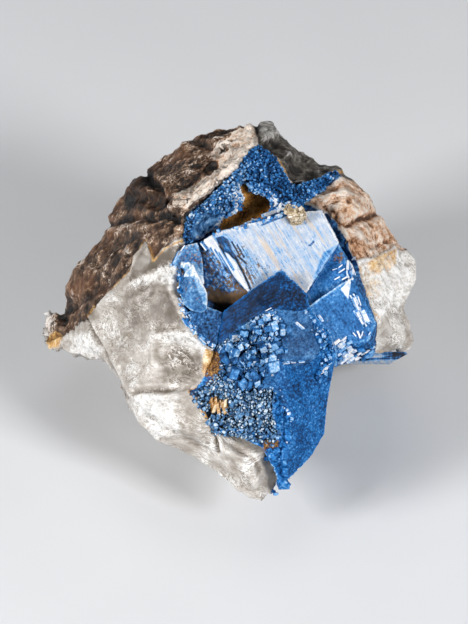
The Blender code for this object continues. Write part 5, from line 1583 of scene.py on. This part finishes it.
def make_stage(sizes, colours):
    """The floor, the soft lights and the camera at the viewer's place."""
    scene = bpy.context.scene
    scene.view_settings.view_transform = "Standard"
    mesh = bpy.data.meshes.new("floor")
    steps = np.linspace(-FLOOR_REACH, FLOOR_REACH, 7)
    x, y = np.meshgrid(steps, steps, indexing="ij")
    points = np.stack([x.ravel(), y.ravel(), np.full(x.size, -FLOOR_DROP * MM)], 1)
    index = np.arange(x.size).reshape(x.shape)
    faces = np.stack([index[:-1, :-1], index[1:, :-1], index[1:, 1:], index[:-1, 1:]], -1).reshape(-1, 4)
    mesh.from_pydata(points.tolist(), [], faces.tolist())
    floor = bpy.data.objects.new("floor", mesh)
    scene.collection.objects.link(floor)
    # Matt pale paper, a little cloudy, with no shine
    material, tree, _, parts = start_material("matt_pale_paper", noises=[("cloud", 40.0, 2.0, 0.5)])
    colour = add(tree, "Mix", {0: parts["cloud"], 6: tuple(colours.floor), 7: linear("#dfe0e2")}, out=2,
                 data_type="RGBA")
    surface = add(tree, "BsdfPrincipled", {"Base Color": colour, "Roughness": 0.7})
    add(tree, "OutputMaterial", {0: surface})
    mesh.materials.append(material)

    for name, azimuth, elevation, size, power in LIGHTS:
        a, e = math.radians(azimuth), math.radians(elevation)
        light = bpy.data.lights.new(name, "AREA")
        light.size = size
        light.energy = power
        lamp = bpy.data.objects.new(name, light)
        direction = np.array([math.sin(a) * math.cos(e), -math.cos(a) * math.cos(e), math.sin(e)])
        lamp.matrix_world = look_along(direction * LIGHT_DISTANCE + LIGHT_AIM, direction)
        scene.collection.objects.link(lamp)
    world = bpy.data.worlds.new("soft_room")
    world.use_nodes = True
    background = world.node_tree.nodes["Background"]
    background.inputs["Color"].default_value = linear("#e8ebf0")
    background.inputs["Strength"].default_value = ROOM_LIGHT
    scene.world = world

    camera = bpy.data.cameras.new("camera")
    camera.lens = camera.sensor_width * CAMERA_DISTANCE / (FRAME_PIXELS[1] * PIXEL * MM)
    viewer = bpy.data.objects.new("camera", camera)
    middle = from_sight(np.column_stack([spots([(FRAME_PIXELS[0] / 2, FRAME_PIXELS[1] / 2)]), [0.0]]))[0] * MM
    viewer.matrix_world = look_along(middle + TO_VIEWER * CAMERA_DISTANCE, TO_VIEWER)
    scene.collection.objects.link(viewer)
    scene.camera = viewer


# Buttons

def run(context, *makers):
    """Calls each maker with the sizes and colours that the panel shows."""
    for make in makers:
        make(context.scene.specimen_sizes, context.scene.specimen_colours)
    return {"FINISHED"}


class SPECIMEN_OT_stage(bpy.types.Operator):
    """Makes the floor, the lights and the camera"""

    bl_idname = "specimen.stage"
    bl_label = "Stage"

    def execute(self, context):
        return run(context, make_stage)


class SPECIMEN_OT_rock(bpy.types.Operator):
    """Makes the quartz with its brown rind"""

    bl_idname = "specimen.rock"
    bl_label = "Quartz and rind"

    def execute(self, context):
        return run(context, make_rock)


class SPECIMEN_OT_prism(bpy.types.Operator):
    """Makes the large blue prism"""

    bl_idname = "specimen.prism"
    bl_label = "Prism"

    def execute(self, context):
        return run(context, make_prism)


class SPECIMEN_OT_pale_plate(bpy.types.Operator):
    """Makes the pale striated crystal and the cream one on it"""

    bl_idname = "specimen.pale_plate"
    bl_label = "Pale plate"

    def execute(self, context):
        return run(context, make_pale_plate, make_cream_lump)


class SPECIMEN_OT_side_crystals(bpy.types.Operator):
    """Makes the crystals beside and under the prism"""

    bl_idname = "specimen.side_crystals"
    bl_label = "Side crystals"

    def execute(self, context):
        return run(context, make_left_crystals, make_right_crystals, make_underside)


class SPECIMEN_OT_crust(bpy.types.Operator):
    """Makes the grainy crust and the hollow's rusty floor"""

    bl_idname = "specimen.crust"
    bl_label = "Upper crust"

    def execute(self, context):
        return run(context, make_upper_crust, make_crust_grains, make_hollow_grains)


class SPECIMEN_OT_druse(bpy.types.Operator):
    """Strews the small crystals over the front"""

    bl_idname = "specimen.druse"
    bl_label = "Druse"

    def execute(self, context):
        return run(context, make_front_druse, make_rim_grains, make_white_blades, make_golden_blades)


BUTTONS = (SPECIMEN_OT_stage, SPECIMEN_OT_rock, SPECIMEN_OT_prism, SPECIMEN_OT_pale_plate,
           SPECIMEN_OT_side_crystals, SPECIMEN_OT_crust, SPECIMEN_OT_druse)


class SPECIMEN_PT_panel(bpy.types.Panel):
    """Lists the specimen's sizes, colours and pieces"""

    bl_label = "Specimen"
    bl_idname = "SPECIMEN_PT_panel"
    bl_space_type = "VIEW_3D"
    bl_region_type = "UI"
    bl_category = "Specimen"

    def draw(self, context):
        for group in (context.scene.specimen_sizes, context.scene.specimen_colours):
            for field in group.__annotations__:
                self.layout.prop(group, field)
        for made in BUTTONS:
            self.layout.operator(made.bl_idname)


CLASSES = (SpecimenSizes, SpecimenColours, *BUTTONS, SPECIMEN_PT_panel)


def register():
    """Registers the classes and adds the sizes and colours to each scene."""
    for made in CLASSES:
        bpy.utils.register_class(made)
    bpy.types.Scene.specimen_sizes = PointerProperty(type=SpecimenSizes)
    bpy.types.Scene.specimen_colours = PointerProperty(type=SpecimenColours)


def unregister():
    """Takes back what register adds."""
    del bpy.types.Scene.specimen_sizes
    del bpy.types.Scene.specimen_colours
    for made in reversed(CLASSES):
        bpy.utils.unregister_class(made)


def main():
    """Makes every piece in order."""
    register()
    for button in (bpy.ops.specimen.stage, bpy.ops.specimen.rock, bpy.ops.specimen.prism,
                   bpy.ops.specimen.pale_plate, bpy.ops.specimen.side_crystals, bpy.ops.specimen.crust,
                   bpy.ops.specimen.druse):
        button()


if __name__ == "__main__":
    main()
